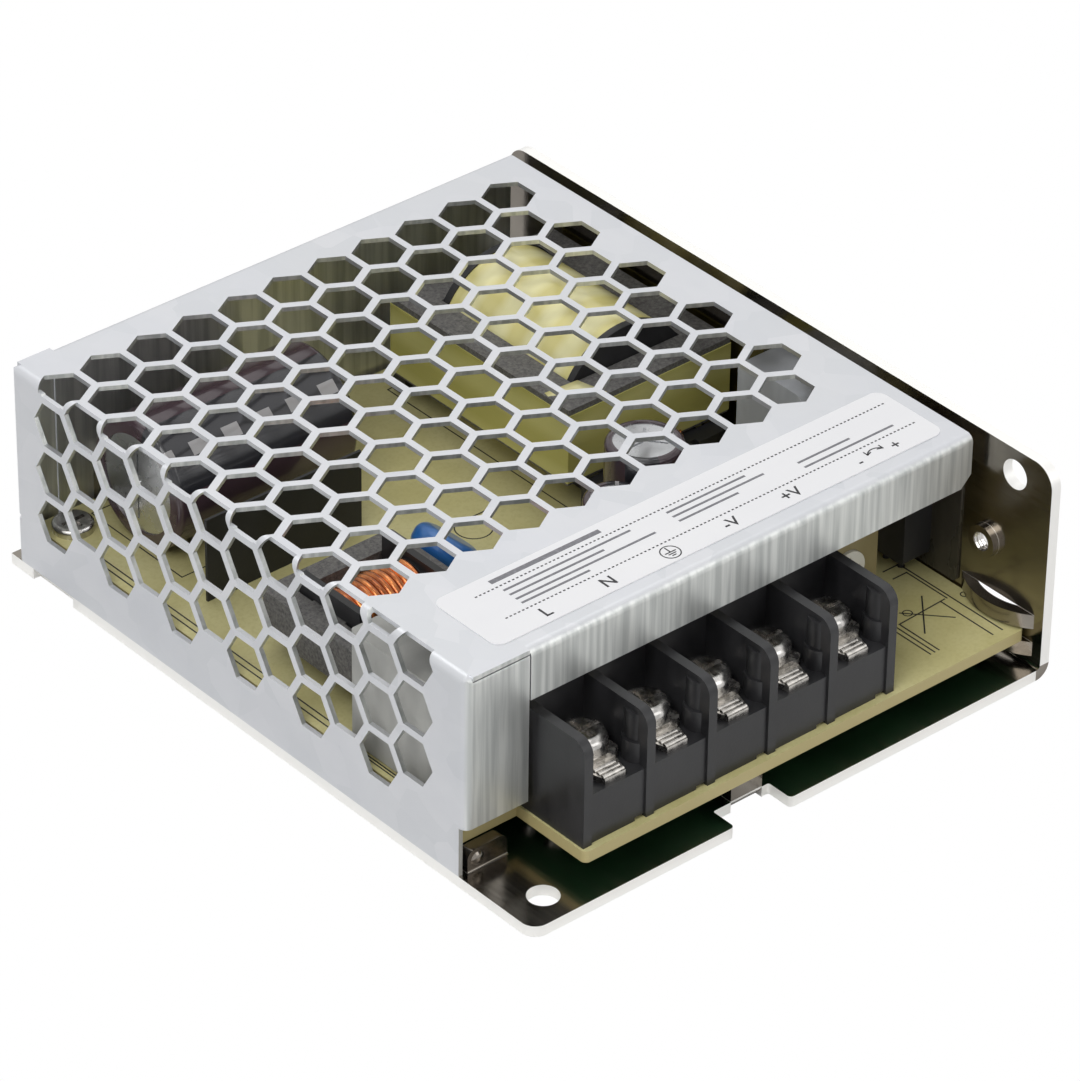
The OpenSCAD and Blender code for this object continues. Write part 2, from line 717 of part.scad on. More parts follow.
module chassis() {
    low_z = [board_z - bridge_h, board_z];
    high_z = [board_top + bridge_play, board_top + bridge_play + bridge_h];
    color("#8f8b85") difference() {
        union() {
            difference() {
                along_y(y_front, y_back) chassis_profile();
                // Free corners of wall and base
                for (y = [y_front, y_back]) difference() {
                    span([wall_in - 1, y - wall_corner_r, case_h - wall_corner_r],
                        [x_right + 1, y + wall_corner_r, case_h + 1]);
                    bar([wall_in - 2, y + (y < 0 ? wall_corner_r : -wall_corner_r),
                        case_h - wall_corner_r], wall_corner_r, chassis_t + 4, 0);
                }
                along_z(-1, chassis_t + 1) {
                    corner([x_left, y_front, 1, 1], base_corner_r);
                    // Notch under the terminals
                    plate(notch_x0, y_front - 1, notch_x0 + tab_notch_w, notch_y, 0.3, [2, 3]);
                    corner([notch_x0, y_front, -1, 1], notch_r);
                    corner([notch_x0 + tab_notch_w, y_front, 1, 1], notch_r);
                }
                bend_room(tab_x0, tab_x0 + board_tab_w, notch_y, 1);
                // Recess by the back left corner
                span([x_left - 1, recess_y0, -1], [x_left + recess_depth, recess_y1, chassis_t + 1]);
                // Window behind the stop tab and the cover tabs
                bend_room(stop_x0, stop_x0 + stop_tab_w, stop_y + chassis_t, -1);
                span([stop_x0, stop_y + chassis_t - e, -1],
                    [stop_x0 + stop_tab_w, stop_y + chassis_t + stop_tab_h, chassis_t + 1]);
                for (x = cover_screws_x)
                    span([x - cover_tab_w / 2, cover_tab_y - 8, -1],
                        [x + cover_tab_w / 2, cover_tab_y + chassis_t - e, chassis_t + 1]);
                bridge_slot(low_z[0], low_z[1]);
                bridge_slot(high_z[0], high_z[1]);
            }
            base_tab(tab_x0, tab_x0 + board_tab_w, notch_y, board_z, 0.5, 1);
            stop_tab();
            cover_tabs();
            bridge_strip(low_z[0], low_z[1]);
            bridge_strip(high_z[0], high_z[1]);
            for (y = [y_front + wall_tap_y, y_back - wall_tap_back])
                bar([wall_in - collar_h, y, wall_tap_z], collar_d / 2, collar_h + e, 0);
            for (p = base_taps) bar([p.x, p.y, chassis_t - e], collar_d / 2, collar_h + e, 2);
            for (p = studs) bar([p.x, p.y, chassis_t - e], stud_d / 2, board_z - chassis_t + e, 2);
        }
        bar([x_left + base_hole_x, y_front + base_hole_y, -1], fixing_d / 2, chassis_t + 2, 2);
        bar([wall_in - 1, y_front + wall_hole_y, case_h - wall_hole_drop],
            fixing_d / 2, chassis_t + 2, 0);
        for (y = [y_front + wall_tap_y, y_back - wall_tap_back])
            bar([wall_in - collar_h - 1, y, wall_tap_z], tap_d / 2, chassis_t + collar_h + 2, 0);
        for (p = base_taps) bar([p.x, p.y, -1], tap_d / 2, chassis_t + collar_h + 2, 2);
        // Blind undersides of the drawn studs, and the board screw's hole
        for (p = studs) bar([p.x, p.y, -1], stud_d / 2 - 1.1, board_z - chassis_t + 1 - e, 2);
        bar([studs[0].x, studs[0].y, -1], m3_r + m3_gap, board_z + 2, 2);
        for (x = cover_screws_x)
            bar([x, cover_tab_y - 1, cover_screw_z], m3_r + m3_gap, chassis_t + 2, 1);
        bar([wall_in - 1, clip_y, clip_screw_z], m3_r + m3_gap, chassis_t + 2, 0);
    }
}

// Tab that stops the board's front edge, with a pressed dimple
module stop_tab() {
    depth = 0.9 * dimple_r;
    base_tab(stop_x0, stop_x0 + stop_tab_w, stop_y + chassis_t, chassis_t + stop_tab_h, 1.2, -1);
    translate([stop_x0 + 1.5, stop_y + depth, chassis_t + stop_tab_h / 2])
        sphere(sqrt(dimple_r * dimple_r + depth * depth));
}

// Upright tabs that the cover's back is screwed to
module cover_tabs() {
    for (x = cover_screws_x) intersection() {
        along_x(x - cover_tab_w / 2, x + cover_tab_w / 2)
            plate(cover_tab_y, 0, cover_tab_y + chassis_t, cover_tab_h, chassis_t, [0]);
        along_y(cover_tab_y - 1, cover_tab_y + chassis_t + 1)
            plate(x - cover_tab_w / 2, -1, x + cover_tab_w / 2, cover_tab_h, 1.5, [2, 3]);
    }
}

// Block with the cover's outside form, all its faces moved in by inset
module cover_block(inset) {
    r = cover_fold_r - inset;
    right = inset > 0 ? cov_right + 1 : cov_right;
    low = inset > 0 ? chassis_t - 1 : chassis_t;
    intersection() {
        along_y(cov_front + inset, cov_back - inset)
            plate(x_left + inset, low, right, cov_top - inset, r, [3]);
        along_x(x_left - 1, cov_right + 2)
            plate(cov_front + inset, low, cov_back - inset, cov_top - inset, r, [2, 3]);
        along_z(0, case_h)
            plate(x_left + inset, cov_front + inset, right + 2, cov_back - inset, r, [0, 3]);
    }
}

// Hexagonal holes of the top, one row of them from x0
module top_holes() {
    for (row = [0 : top_rows]) let (
        x0 = x_left + hex_edge_top + (row % 2) * hex_pitch / 2,
        last = floor((top_limit - x0) / hex_pitch))
        for (k = [0 : last])
            translate([x0 + k * hex_pitch, row0_y - row * row_pitch, cov_top - cover_fold_r - 0.1])
                rotate(90) cylinder(r = hex_r, h = cover_fold_r + 1, $fn = 6);
}

// Hexagonal holes of the mesh side; the uppermost of each row run over the fold
module side_holes() {
    for (row = [0 : side_rows]) let (
        z0 = cov_top + hex_edge_side - (row % 2) * hex_pitch / 2,
        last = floor((z0 - side_limit) / hex_pitch))
        for (k = [0 : last])
            translate([x_left - 1, row0_y - row * row_pitch, z0 - k * hex_pitch])
                rotate([90, 0, 90]) cylinder(r = hex_r, h = cover_fold_r + 1.1, $fn = 6);
}

module cover() {
    color("#c9ccce") difference() {
        union() {
            difference() {
                cover_block(0);
                cover_block(cover_t);
            }
            // Square front and back edges of the top sheet over the folded wings
            span([x_left + cover_fold_r, cov_front, cov_top - cover_t],
                [wing_x, cov_front + cover_fold_r, cov_top]);
            span([x_left + cover_fold_r, cov_back - cover_fold_r, cov_top - cover_t],
                [x_left + back_wing_w, cov_back, cov_top]);
        }
        top_holes();
        side_holes();
        // Terminal opening under the lip, and the open corner under the wing
        span([wing_x, cov_front - 1, 0], [cov_right + 1, cov_front + cover_fold_r, lip_z]);
        span([x_left - 1, cov_front - 1, 0], [wing_x + e, cov_front + cover_fold_r, wing_z]);
        // Seams beside and over the wings
        span([wing_x, cov_front - 1, 0], [wing_x + seam_gap, cov_front + cover_fold_r, cov_top - cover_t]);
        span([x_left + cover_fold_r, cov_front - 1, cov_top - cover_t - seam_gap],
            [wing_x + seam_gap, cov_front + cover_fold_r, cov_top - cover_t]);
        span([x_left + back_wing_w, cov_back - cover_fold_r, 0],
            [x_left + back_wing_w + seam_gap, cov_back + 1, cov_top - cover_t]);
        span([x_left + cover_fold_r, cov_back - cover_fold_r, cov_top - cover_t - seam_gap],
            [x_left + back_wing_w + seam_gap, cov_back + 1, cov_top - cover_t]);
        // Relief notch in the back corner fold
        span([x_left - 1, cov_back - cover_fold_r, wing_z - 0.8],
            [x_left + cover_fold_r, cov_back + 1, wing_z]);
        // Chamfered free corner of the lip
        translate([cov_right, cov_front, lip_z]) rotate([0, 45, 0])
            cube([lip_chamfer * 1.41, 4, lip_chamfer * 1.41], center = true);
        for (x = cover_screws_x)
            bar([x, cov_back - 2, cover_screw_z], m3_r + 2 * m3_gap, 4, 1);
    }
}

module label() {
    color("white") along_z(cov_top, cov_top + label_t) plate(lab_x0, lab_y0, lab_x1, lab_y1, label_r);
}

// ---------- board ----------

module circuit_board() {
    pin = contact_pin / 2 + lead_gap;
    color("#cfca8c") difference() {
        along_z(board_z, board_top) difference() {
            union() {
                plate(board_x0, board_y0, board_x1, board_y1, 0.8, [1, 2, 3]);
                plate(tongue_x0, tongue_y0, board_x1, board_y0 + 5, 0.8, [0, 1]);
            }
            for (p = LEADS) translate(p) circle(lead_r + lead_gap);
            translate(studs[0]) circle(m3_r + m3_gap);
            for (i = [1 : 5]) translate([pole_x(i) - pin, contact_pin_y - pin]) square(2 * pin);
            for (x = barrier_feet)
                translate([x - lead_gap, barrier_y - barrier_thick / 2 - lead_gap])
                    square([foot_w + 2 * lead_gap, barrier_thick + 2 * lead_gap]);
            // Relief round the tabs that carry the cover
            for (x = cover_screws_x)
                translate([x - cover_tab_w / 2 - 0.5, cover_tab_y - 0.5]) square([cover_tab_w + 1, 9]);
        }
    }
}

module insulating_film() {
    color("#d8d2b0", 0.9) along_z(chassis_t, chassis_t + film_t) difference() {
        plate(board_x0 + 1, board_y0 + 9, board_x1 - 2, board_y1 - 10, 2);
        for (p = base_taps) translate(p) circle(collar_d / 2 + 0.5);
        for (p = studs) translate(p) circle(stud_d / 2 + 0.5);
    }
}

module barrier_sheet() {
    color("#1b1b1d") {
        span([barrier_x0, barrier_y - barrier_thick / 2, board_top],
            [barrier_x1, barrier_y + barrier_thick / 2, barrier_top]);
        for (x = barrier_feet)
            span([x, barrier_y - barrier_thick / 2, board_z - 0.6],
                [x + foot_w, barrier_y + barrier_thick / 2, board_top + e]);
    }
}

module board_screw() {
    color("silver") translate([studs[0].x, studs[0].y, board_top])
        pan_screw(m3_r, board_t + board_z - chassis_t, m3_head_r, m3_head_h, cross_depth);
}

module cover_screws() {
    color("silver") for (x = cover_screws_x)
        translate([x, cov_back, cover_screw_z]) rotate([-90, 0, 0])
            pan_screw(m3_r, cover_t + chassis_t + 1.2, m3_head_r, m3_head_h, cross_depth);
}

// ---------- terminal block ----------

// Round wire guides on both flanks of a cell
module wire_guides(out, r, h) {
    for (s = [-1, 1])
        bar([s * (cell_w / 2 + r - out), block_y0 + guide_y, floor_z - e], r, h + e, 2);
}

module terminal_cell(i) {
    slot = contact_pin + 2 * lead_gap;
    translate([pole_x(i), 0, 0]) {
        difference() {
            span([-cell_w / 2, block_y0 - 1, floor_z],
                [cell_w / 2, block_y1 - block_back_t, block_top + 1]);
            wire_guides(guide_high, guide_r, guide_high_h);
            wire_guides(guide_low, guide_r, guide_low_h);
        }
        // Front of the cell, set back from the barriers
        span([-cell_w / 2, block_y0 - 1, board_top - 1], [cell_w / 2, block_y0 + barrier_out, floor_z + e]);
        bar([0, poles_y, board_top + 0.8], bush_r + 0.15, floor_z, 2);
        span([-slot / 2, contact_pin_y - slot / 2, board_top - 1],
            [slot / 2, contact_pin_y + slot / 2, floor_z + 1]);
    }
}

module terminal_block() {
    color("#202022") difference() {
        along_x(block_x0, block_x1)
            plate(block_y0, board_top, block_y1, block_top, barrier_r, [3]);
        for (i = [1 : 5]) terminal_cell(i);
        // Small notches at the foot of each barrier
        for (i = [1 : 5]) translate([pole_x(i) + pole_pitch / 2 - barrier_t, block_y0, board_top])
            cube([foot_notch, 2 * barrier_out + 1, 1], center = true);
        // Relief under the back of the block
        span([block_x0 + 2, block_y1 - 2, board_top - 1], [block_x1 - 2, block_y1 + 1, board_top + 1.5]);
    }
}

// Outline of one contact plate, with a tapered tongue to the front
module contact_outline() {
    tongue_y = poles_y - washer_d / 2 + 0.6;
    tip_y = block_y0 + 0.8;
    plate(-contact_w / 2, tongue_y, contact_w / 2, block_y1 - block_back_t - 0.05, 0.4);
    polygon([[-contact_neck_w / 2, tongue_y + 1], [-contact_neck_w / 2, tongue_y],
        [-contact_tip_w / 2, tip_y], [contact_tip_w / 2, tip_y],
        [contact_neck_w / 2, tongue_y], [contact_neck_w / 2, tongue_y + 1]]);
}

module terminal_contacts() {
    rib = 0.35;
    color("#d9d9d6") for (i = [1 : 5]) translate([pole_x(i), 0, 0]) difference() {
        union() {
            along_z(floor_z, contact_top) contact_outline();
            bar([0, poles_y, floor_z - bush_h], bush_r, bush_h + e, 2);
            span([-contact_pin / 2, contact_pin_y - contact_pin / 2, tip_z],
                [contact_pin / 2, contact_pin_y + contact_pin / 2, floor_z + e]);
            // Serrations across the tongue
            for (k = [0 : 2]) bar([-contact_tip_w / 2, block_y0 + 1.3 + k * 0.75, contact_top - 0.1],
                rib, contact_tip_w, 0);
        }
        bar([0, poles_y, floor_z - bush_h - 1], pole_r + pole_gap, bush_h + contact_t + 2, 2);
    }
}

module clamp_washer(i) {
    color("#cfcfcc") along_z(contact_top, washer_top) translate([pole_x(i), poles_y]) difference() {
        plate(-washer_w / 2, -washer_d / 2, washer_w / 2, washer_d / 2, washer_r);
        circle(pole_r + 2 * pole_gap);
    }
}

module terminal_screw(i) {
    color("#d6d6d4") translate([pole_x(i), poles_y, washer_top]) difference() {
        pan_screw(pole_r, pole_len, pole_head_r, pole_head_h, cross_depth * 1.6);
        // Full-width slot of the combination recess
        translate([-pole_head_r - 1, -cross_w * 0.6, pole_head_h - cross_depth])
            cube([2 * pole_head_r + 2, cross_w * 1.2, cross_depth + 1]);
    }
}

// ---------- transformer ----------

module transformer_core() {
    color("#4a4a4c") {
        difference() {
            span([core_x0, core_y0, core_z0], [core_x0 + core_w, core_y1, core_z0 + core_h]);
            bar([core_x, core_y0 + core_end_t, core_z], window_r, core_len - 2 * core_end_t, 1);
        }
        bar([core_x, core_y0 + core_end_t - 1, core_z], core_leg_r, core_len - 2 * core_end_t + 2, 1);
    }
}

// Flange of the bobbin at one end: y0 is its face towards the core's end plate
module bobbin_end(y0, rail_from, rail_to) {
    web_w = rail_w - 6;
    difference() {
        intersection() {
            bar([core_x, y0, core_z], winding_r + 0.2, flange_t, 1);
            span([core_x - winding_r - 1, y0 - 1, board_top + 0.6],
                [core_x + winding_r + 1, y0 + flange_t + 1, cov_top]);
        }
        bar([core_x, y0 - 1, core_z], core_leg_r + bobbin_gap, flange_t + 2, 1);
    }
    // Pin rail, and the web that ties it to the flange under the core's end
    span([core_x - rail_w / 2, rail_from, board_top + 0.3], [core_x + rail_w / 2, rail_to, rail_top]);
    span([core_x - web_w / 2, min(rail_from, y0), board_top + 0.6],
        [core_x + web_w / 2, max(rail_to, y0 + flange_t), rail_top]);
}

module transformer_bobbin() {
    near = core_y0 + core_end_t + bobbin_gap;
    far = core_y1 - core_end_t - bobbin_gap - flange_t;
    color("#1e1e20") difference() {
        union() {
            bobbin_end(near, rail_y0, core_y0);
            bobbin_end(far, core_y1, rail_y1);
            difference() {
                bar([core_x, near, core_z], tube_r, far - near + flange_t, 1);
                bar([core_x, near - 1, core_z], core_leg_r + bobbin_gap, far - near + 4, 1);
            }
            leads(core_pins, rail_top - 1);
        }
        // Lead-out slots in the rails
        for (y = [rail_y0, rail_y1], i = [-2 : 1])
            translate([core_x + (i + 0.5) * pin_pitch, y, rail_top])
                cube([1, 1.6, 3], center = true);
    }
}

module transformer_winding() {
    color("#e6dfa0") difference() {
        bar([core_x, winding_y0 + e, core_z], winding_r, winding_y1 - winding_y0 - 2 * e, 1);
        bar([core_x, winding_y0 - 1, core_z], tube_r + 0.02, winding_y1 - winding_y0 + 2, 1);
    }
}

module transformer_tape() {
    color("#c9bf62") along_z(core_z0 + 0.4, core_z0 + core_h - 0.8) difference() {
        plate(core_x0 - tape_t, core_y0 - tape_t, core_x0 + core_w + tape_t, core_y1 + tape_t, tape_t);
        translate([core_x0, core_y0]) square([core_w, core_len]);
    }
}

// ---------- capacitors ----------

// Aluminium can standing on z = 0 with its seal down and a K-shaped vent on top
module capacitor_can(r, h) {
    difference() {
        can(r, h, can_round);
        // Rolled groove near the seal
        translate([0, 0, 2.4]) rotate_extrude() translate([r, 0]) circle(can_groove);
        // Recess that the seal fills
        translate([0, 0, -1]) cylinder(r = r - 1.2, h = 1.9);
        // Vent scores
        translate([-r * 0.6, -score / 2, h - score]) cube([r * 1.2, score, 1]);
        for (a = [-50, 50]) translate([0, 0, h - score]) rotate(a)
            translate([0, -score / 2, 0]) cube([r * 0.6, score, 1]);
    }
}

// Shrunk sleeve with rims curled over both ends of a can
module capacitor_sleeve(r, h, rim) {
    difference() {
        translate([0, 0, -sleeve_t]) can(r, h + 2 * sleeve_t, can_round + sleeve_t);
        can(r - sleeve_t, h, can_round);
        translate([0, 0, -2 * sleeve_t]) cylinder(r = r - rim, h = h + 4 * sleeve_t);
    }
}

module lay_bulk() { translate([bulk_x1, bulk_y, bulk_z]) rotate([0, -90, 0]) children(); }

module bulk_capacitor() {
    color("#c8c8c6") lay_bulk() capacitor_can(bulk_r - sleeve_t, bulk_len);
}

module bulk_sleeve() {
    color("#3d2f38") lay_bulk() capacitor_sleeve(bulk_r, bulk_len, sleeve_rim);
}

// Rubber seal with two leads bent down to the board
module bulk_seal() {
    seal_r = bulk_r - sleeve_t - 1.2 - 0.05;
    color("#1c1c1c") {
        bar([bulk_x1 - 0.85, bulk_y, bulk_z], seal_r, 0.85, 0);
        for (p = bulk_leads) {
            bar([bulk_x1 - 0.5, p.y, bulk_z], lead_r, bulk_lead_x - bulk_x1 + 0.5, 0);
            translate([p.x, p.y, bulk_z]) sphere(lead_r);
        }
        leads(bulk_leads, bulk_z);
    }
}

module output_capacitor(c, r, h) {
    color("#c8c8c6") translate([c.x, c.y, board_top + sleeve_t + 0.1]) capacitor_can(r - sleeve_t, h);
    color("#c8c8c6") leads(out_leads(c), board_top + 1.5);
}

module output_sleeve(c, r, h) {
    color("#3d2f38") translate([c.x, c.y, board_top + sleeve_t + 0.1]) capacitor_sleeve(r, h, 1);
}

// ---------- line filter ----------

module filter_core() {
    hw = filter_w / 2;
    hd = filter_d / 2;
    leg = filter_t / 2;
    color("#3a3a3c") translate([fil_x, fil_y, fil_z - filter_t / 2]) linear_extrude(filter_t) {
        difference() {
            plate(-hw, -hd, hw, hd, 0.6);
            translate([-hw + filter_limb, -hd + filter_limb])
                square([filter_w - 2 * filter_limb, filter_d - 2 * filter_limb]);
        }
        translate([-hw + 1, -leg]) square([filter_w - 2, filter_t]);
    }
}

module filter_bobbin() {
    half = coil_len / 2;
    flange = coil_r + 0.6;
    leg = filter_t / 2 + 0.15;
    color("#1b1b1d") difference() {
        union() {
            for (x = [fil_x - half - 1, fil_x + half])
                span([x, fil_y - flange, board_top], [x + 1, fil_y + flange, fil_z + flange]);
            bar([fil_x - half, fil_y, fil_z], coil_tube_r + 0.2, coil_len, 0);
            leads(filter_pins, board_top + 1);
        }
        span([fil_x - half - 2, fil_y - leg, fil_z - leg], [fil_x + half + 2, fil_y + leg, fil_z + leg]);
    }
}

// Turns of wire side by side round the bobbin, as one solid with a wavy outside
module filter_winding() {
    turns = floor((coil_len - 0.2) / wire_d);
    start = fil_x - turns * wire_d / 2;
    color("#b8672e") translate([start, fil_y, fil_z]) rotate([0, 90, 0]) difference() {
        rotate_extrude() union() {
            square([coil_r - wire_d / 2, turns * wire_d]);
            for (k = [0 : turns - 1]) translate([coil_r - wire_d / 2, (k + 0.5) * wire_d])
                circle(wire_d / 2 + 0.03);
        }
        translate([0, 0, -1]) cylinder(r = coil_tube_r + 0.25, h = turns * wire_d + 2);
    }
}

// ---------- input parts ----------

module x_capacitor() {
    z = board_top + 0.4;
    color("#b9b8b2") {
        along_z(z, z + xcap_h) plate(xcap_x0, xcap_y0, xcap_x0 + xcap_w, xcap_y1, 0.6);
        for (y = [xcap_y0 + 1, xcap_y1 - 1]) span([xcap_x0 + 1, y - 0.8, board_top],
            [xcap_x0 + xcap_w - 1, y + 0.8, z + e]);
        leads(xcap_leads, z + 1);
    }
}

module y_capacitor() {
    low = ycap_r + 0.8;
    color("#2f6fb8") {
        translate([ycap_c.x, ycap_c.y, board_top + low]) rotate([0, ycap_lean, 0])
            translate([0, 0, -ycap_t / 2]) can(ycap_r, ycap_t, ycap_t * 0.42);
        leads(ycap_leads, board_top + low - 2.4);
    }
}

module fuse() {
    color("#b98a4a") bar([fuse_x, fuse_y - fuse_len / 2 + 3, fuse_z], fuse_r - 0.2, fuse_len - 6, 1);
}

// End caps of the fuse, each with its lead
module fuse_caps() {
    color("silver") {
        for (s = [-1, 1]) {
            bar([fuse_x, fuse_y + (s > 0 ? fuse_len / 2 - 3 : -fuse_len / 2), fuse_z], fuse_r, 3, 1);
            bar([fuse_x, fuse_y + (s > 0 ? fuse_len / 2 - 1 : -fuse_len / 2 - 1.2), fuse_z],
                lead_r, 2.2, 1);
        }
        for (p = fuse_leads) translate([p.x, p.y, fuse_z]) sphere(lead_r);
        leads(fuse_leads, fuse_z);
    }
}

module thermistor() {
    color("#2d3a2e") {
        translate([ntc_c.x, ntc_c.y + ntc_t / 2, ntc_z]) rotate([90, 0, 0])
            can(ntc_r, ntc_t, ntc_t * 0.4);
        leads(ntc_leads, ntc_z - 1);
    }
}

module bridge_rectifier() {
    color("#232325") {
        difference() {
            span([rectifier_c.x - bridge_w / 2, rectifier_c.y - bridge_t / 2, rectifier_z],
                [rectifier_c.x + bridge_w / 2, rectifier_c.y + bridge_t / 2, rectifier_z + bridge_body_h]);
            translate([rectifier_c.x - bridge_w / 2, rectifier_c.y, rectifier_z + bridge_body_h])
                rotate([0, 45, 0]) cube([3, bridge_t + 1, 3], center = true);
        }
        leads(rectifier_leads, rectifier_z + 1);
    }
}

// ---------- wall parts ----------

// Moulded power package standing on its leads, its back face at x1
module power_package(x1, y, list) {
    color("#1d1d1f") {
        difference() {
            along_x(x1 - pack_t, x1)
                plate(y - pack_w / 2, pack_z, y + pack_w / 2, pack_z + pack_h, 0.5);
            bar([x1 - pack_t - 1, y, pack_z + pack_h - 3], 1.6, pack_t + 2, 0);
            for (s = [-1, 1]) bar([x1 - pack_t - 1, y + s * pack_w / 2, pack_z + pack_h - 4.5],
                0.8, pack_t + 2, 0);
        }
        leads(list, pack_z + 1);
    }
}

module output_rectifier() { power_package(pack_x1, rect_c, rect_leads); }

module power_transistor() { power_package(fet_x1, fet_c, fet_leads); }

// Silicone cap pulled over the power transistor
module transistor_cap() {
    gap = 0.05;
    half = pack_w / 2 + gap;
    top = pack_z + pack_h + gap;
    color("#b9bcc0") difference() {
        along_x(fet_x0 - cap_t, pack_x1)
            plate(fet_c - half - cap_t, pack_z + 0.8, fet_c + half + cap_t, top + cap_t, 1.4, [2, 3]);
        along_x(fet_x0 - gap, fet_x1 + gap) plate(fet_c - half, pack_z - 1, fet_c + half, top, 0.5, [2, 3]);
    }
}

module wall_insulator() {
    color("#4b4a46") along_x(pack_x1, wall_in) difference() {
        plate(pad_y0, board_top + 0.4, pad_y1, pack_z + pack_h + 1.6, 0.8);
        translate([clip_y, clip_screw_z]) circle(m3_r + 0.3);
    }
}

// Spring clip: a foot on the wall, a step out, and a curled nose on the package
module rectifier_clip() {
    foot_x = pack_x1 - clip_t;
    nose_y = rect_c + 0.6;
    face_x = pack_x0 - clip_t - 0.05;
    step_y = rect_c + pack_w / 2 + 0.1;
    color("#d4d3cf") difference() {
        union() {
            span([foot_x, step_y, clip_screw_z - clip_w / 2],
                [pack_x1, clip_y + m3_head_r + 0.4, clip_screw_z + clip_w / 2]);
            span([face_x, step_y, clip_screw_z - clip_w / 2],
                [pack_x1, step_y + clip_t, clip_screw_z + clip_w / 2]);
            span([face_x, nose_y, clip_screw_z - clip_w / 2],
                [face_x + clip_t, step_y + clip_t, clip_screw_z + clip_w / 2]);
            bar([face_x, nose_y, clip_screw_z - clip_w / 2], clip_t, clip_w, 2);
        }
        bar([pack_x1 - clip_t - 1, clip_y, clip_screw_z], m3_r + 2 * m3_gap, clip_t + 2, 0);
        span([pack_x0 - 0.05, nose_y - 2, clip_screw_z - clip_w], [pack_x1, step_y, clip_screw_z + clip_w]);
    }
}

module clip_screw() {
    color("silver") translate([pack_x1 - clip_t, clip_y, clip_screw_z]) rotate([0, -90, 0])
        pan_screw(m3_r, clip_t + pad_t + chassis_t - 0.1, m3_head_r - 0.2, m3_head_h + 0.6, cross_depth);
}

// ---------- small parts ----------

module choke_core() {
    z = board_top + 0.3;
    waist = choke_r * 0.5;
    color("#38383a") {
        for (dz = [0, choke_h - 1.5]) bar([choke_c.x, choke_c.y, z + dz], choke_r, 1.5, 2);
        bar([choke_c.x, choke_c.y, z + 1], waist, choke_h - 2, 2);
        leads(choke_leads, z + 0.5);
    }
}

module choke_winding() {
    z = board_top + 0.3;
    color("#b8672e") difference() {
        bar([choke_c.x, choke_c.y, z + 1.52], choke_r - 0.4, choke_h - 3.04, 2);
        bar([choke_c.x, choke_c.y, z], choke_r * 0.5 + 0.02, choke_h, 2);
    }
}

module trimmer() {
    color("#8d8159") difference() {
        union() {
            span([trim_c.x - trim_w / 2, trim_y0, board_top + 0.3],
                [trim_c.x + trim_w / 2, trim_y0 + trim_t, board_top + 0.3 + trim_h]);
            leads(trim_leads, board_top + 1);
            for (s = [-1, 1]) span([trim_c.x + s * trim_w * 0.42 - 0.5, trim_y0, board_top],
                [trim_c.x + s * trim_w * 0.42 + 0.5, trim_y0 + trim_t, board_top + 0.4]);
        }
        bar([trim_c.x, trim_y0 - 1, rotor_z], rotor_r + rotor_gap, 3, 1);
    }
}

// Rotor of the trimmer: it turns about Y and carries a screwdriver slot
module trimmer_rotor() {
    color("#e8e6de") difference() {
        bar([trim_c.x, trim_y0 - 0.4, rotor_z], rotor_r, 2.35, 1);
        for (a = [0, 90]) translate([trim_c.x, trim_y0 - 0.4, rotor_z]) rotate([0, a, 0])
            cube([2 * rotor_r * 0.7, 1.4, 0.5], center = true);
    }
}

// Dual in-line chip with n legs a side
module dip(c, n) {
    len = n * 2.54 - 0.3;
    z = board_top + 0.5;
    color("#1f1f21") difference() {
        span([c.x - chip_w / 2, c.y - len / 2, z], [c.x + chip_w / 2, c.y + len / 2, z + chip_h]);
        bar([c.x, c.y + len / 2, z + chip_h - 0.4], 0.8, 1, 2);
    }
    color("silver") {
        for (p = dip_leads(c, n))
            span([min(p.x, c.x + sign(p.x - c.x) * 3), p.y - 0.5, z + 1.4],
                [max(p.x, c.x + sign(p.x - c.x) * 3), p.y + 0.5, z + 1.7]);
        leads(dip_leads(c, n), z + 1.7, 0.3);
    }
}

module controller_chip() { dip(chip_c, 4); }

module optocoupler() { dip(opto_c, 2); }

// ---------- nodes ----------

chassis();
cover();
label();
circuit_board();
insulating_film();
barrier_sheet();
board_screw();
cover_screws();
terminal_block();
terminal_contacts();
terminal_screw(1);  // terminal_screw_1
terminal_screw(2);  // terminal_screw_2
terminal_screw(3);  // terminal_screw_3
terminal_screw(4);  // terminal_screw_4
terminal_screw(5);  // terminal_screw_5
clamp_washer(1);  // clamp_washer_1
clamp_washer(2);  // clamp_washer_2
clamp_washer(3);  // clamp_washer_3
clamp_washer(4);  // clamp_washer_4
clamp_washer(5);  // clamp_washer_5
transformer_core();
transformer_bobbin();
transformer_winding();
transformer_tape();
bulk_capacitor();
bulk_sleeve();
bulk_seal();
output_capacitor(out_c1, out_r1, out_h1);  // output_capacitor_1
output_sleeve(out_c1, out_r1, out_h1);  // output_sleeve_1
output_capacitor(out_c2, out_r2, out_h2);  // output_capacitor_2
output_sleeve(out_c2, out_r2, out_h2);  // output_sleeve_2
filter_core();
filter_bobbin();
filter_winding();
x_capacitor();
y_capacitor();
fuse();
fuse_caps();
thermistor();
bridge_rectifier();
output_rectifier();
power_transistor();
transistor_cap();
wall_insulator();
rectifier_clip();
clip_screw();
choke_core();
choke_winding();
trimmer();
trimmer_rotor();
controller_chip();
optocoupler();
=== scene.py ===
import json
import math

import bmesh
import bpy
from mathutils import Matrix, Quaternion, Vector


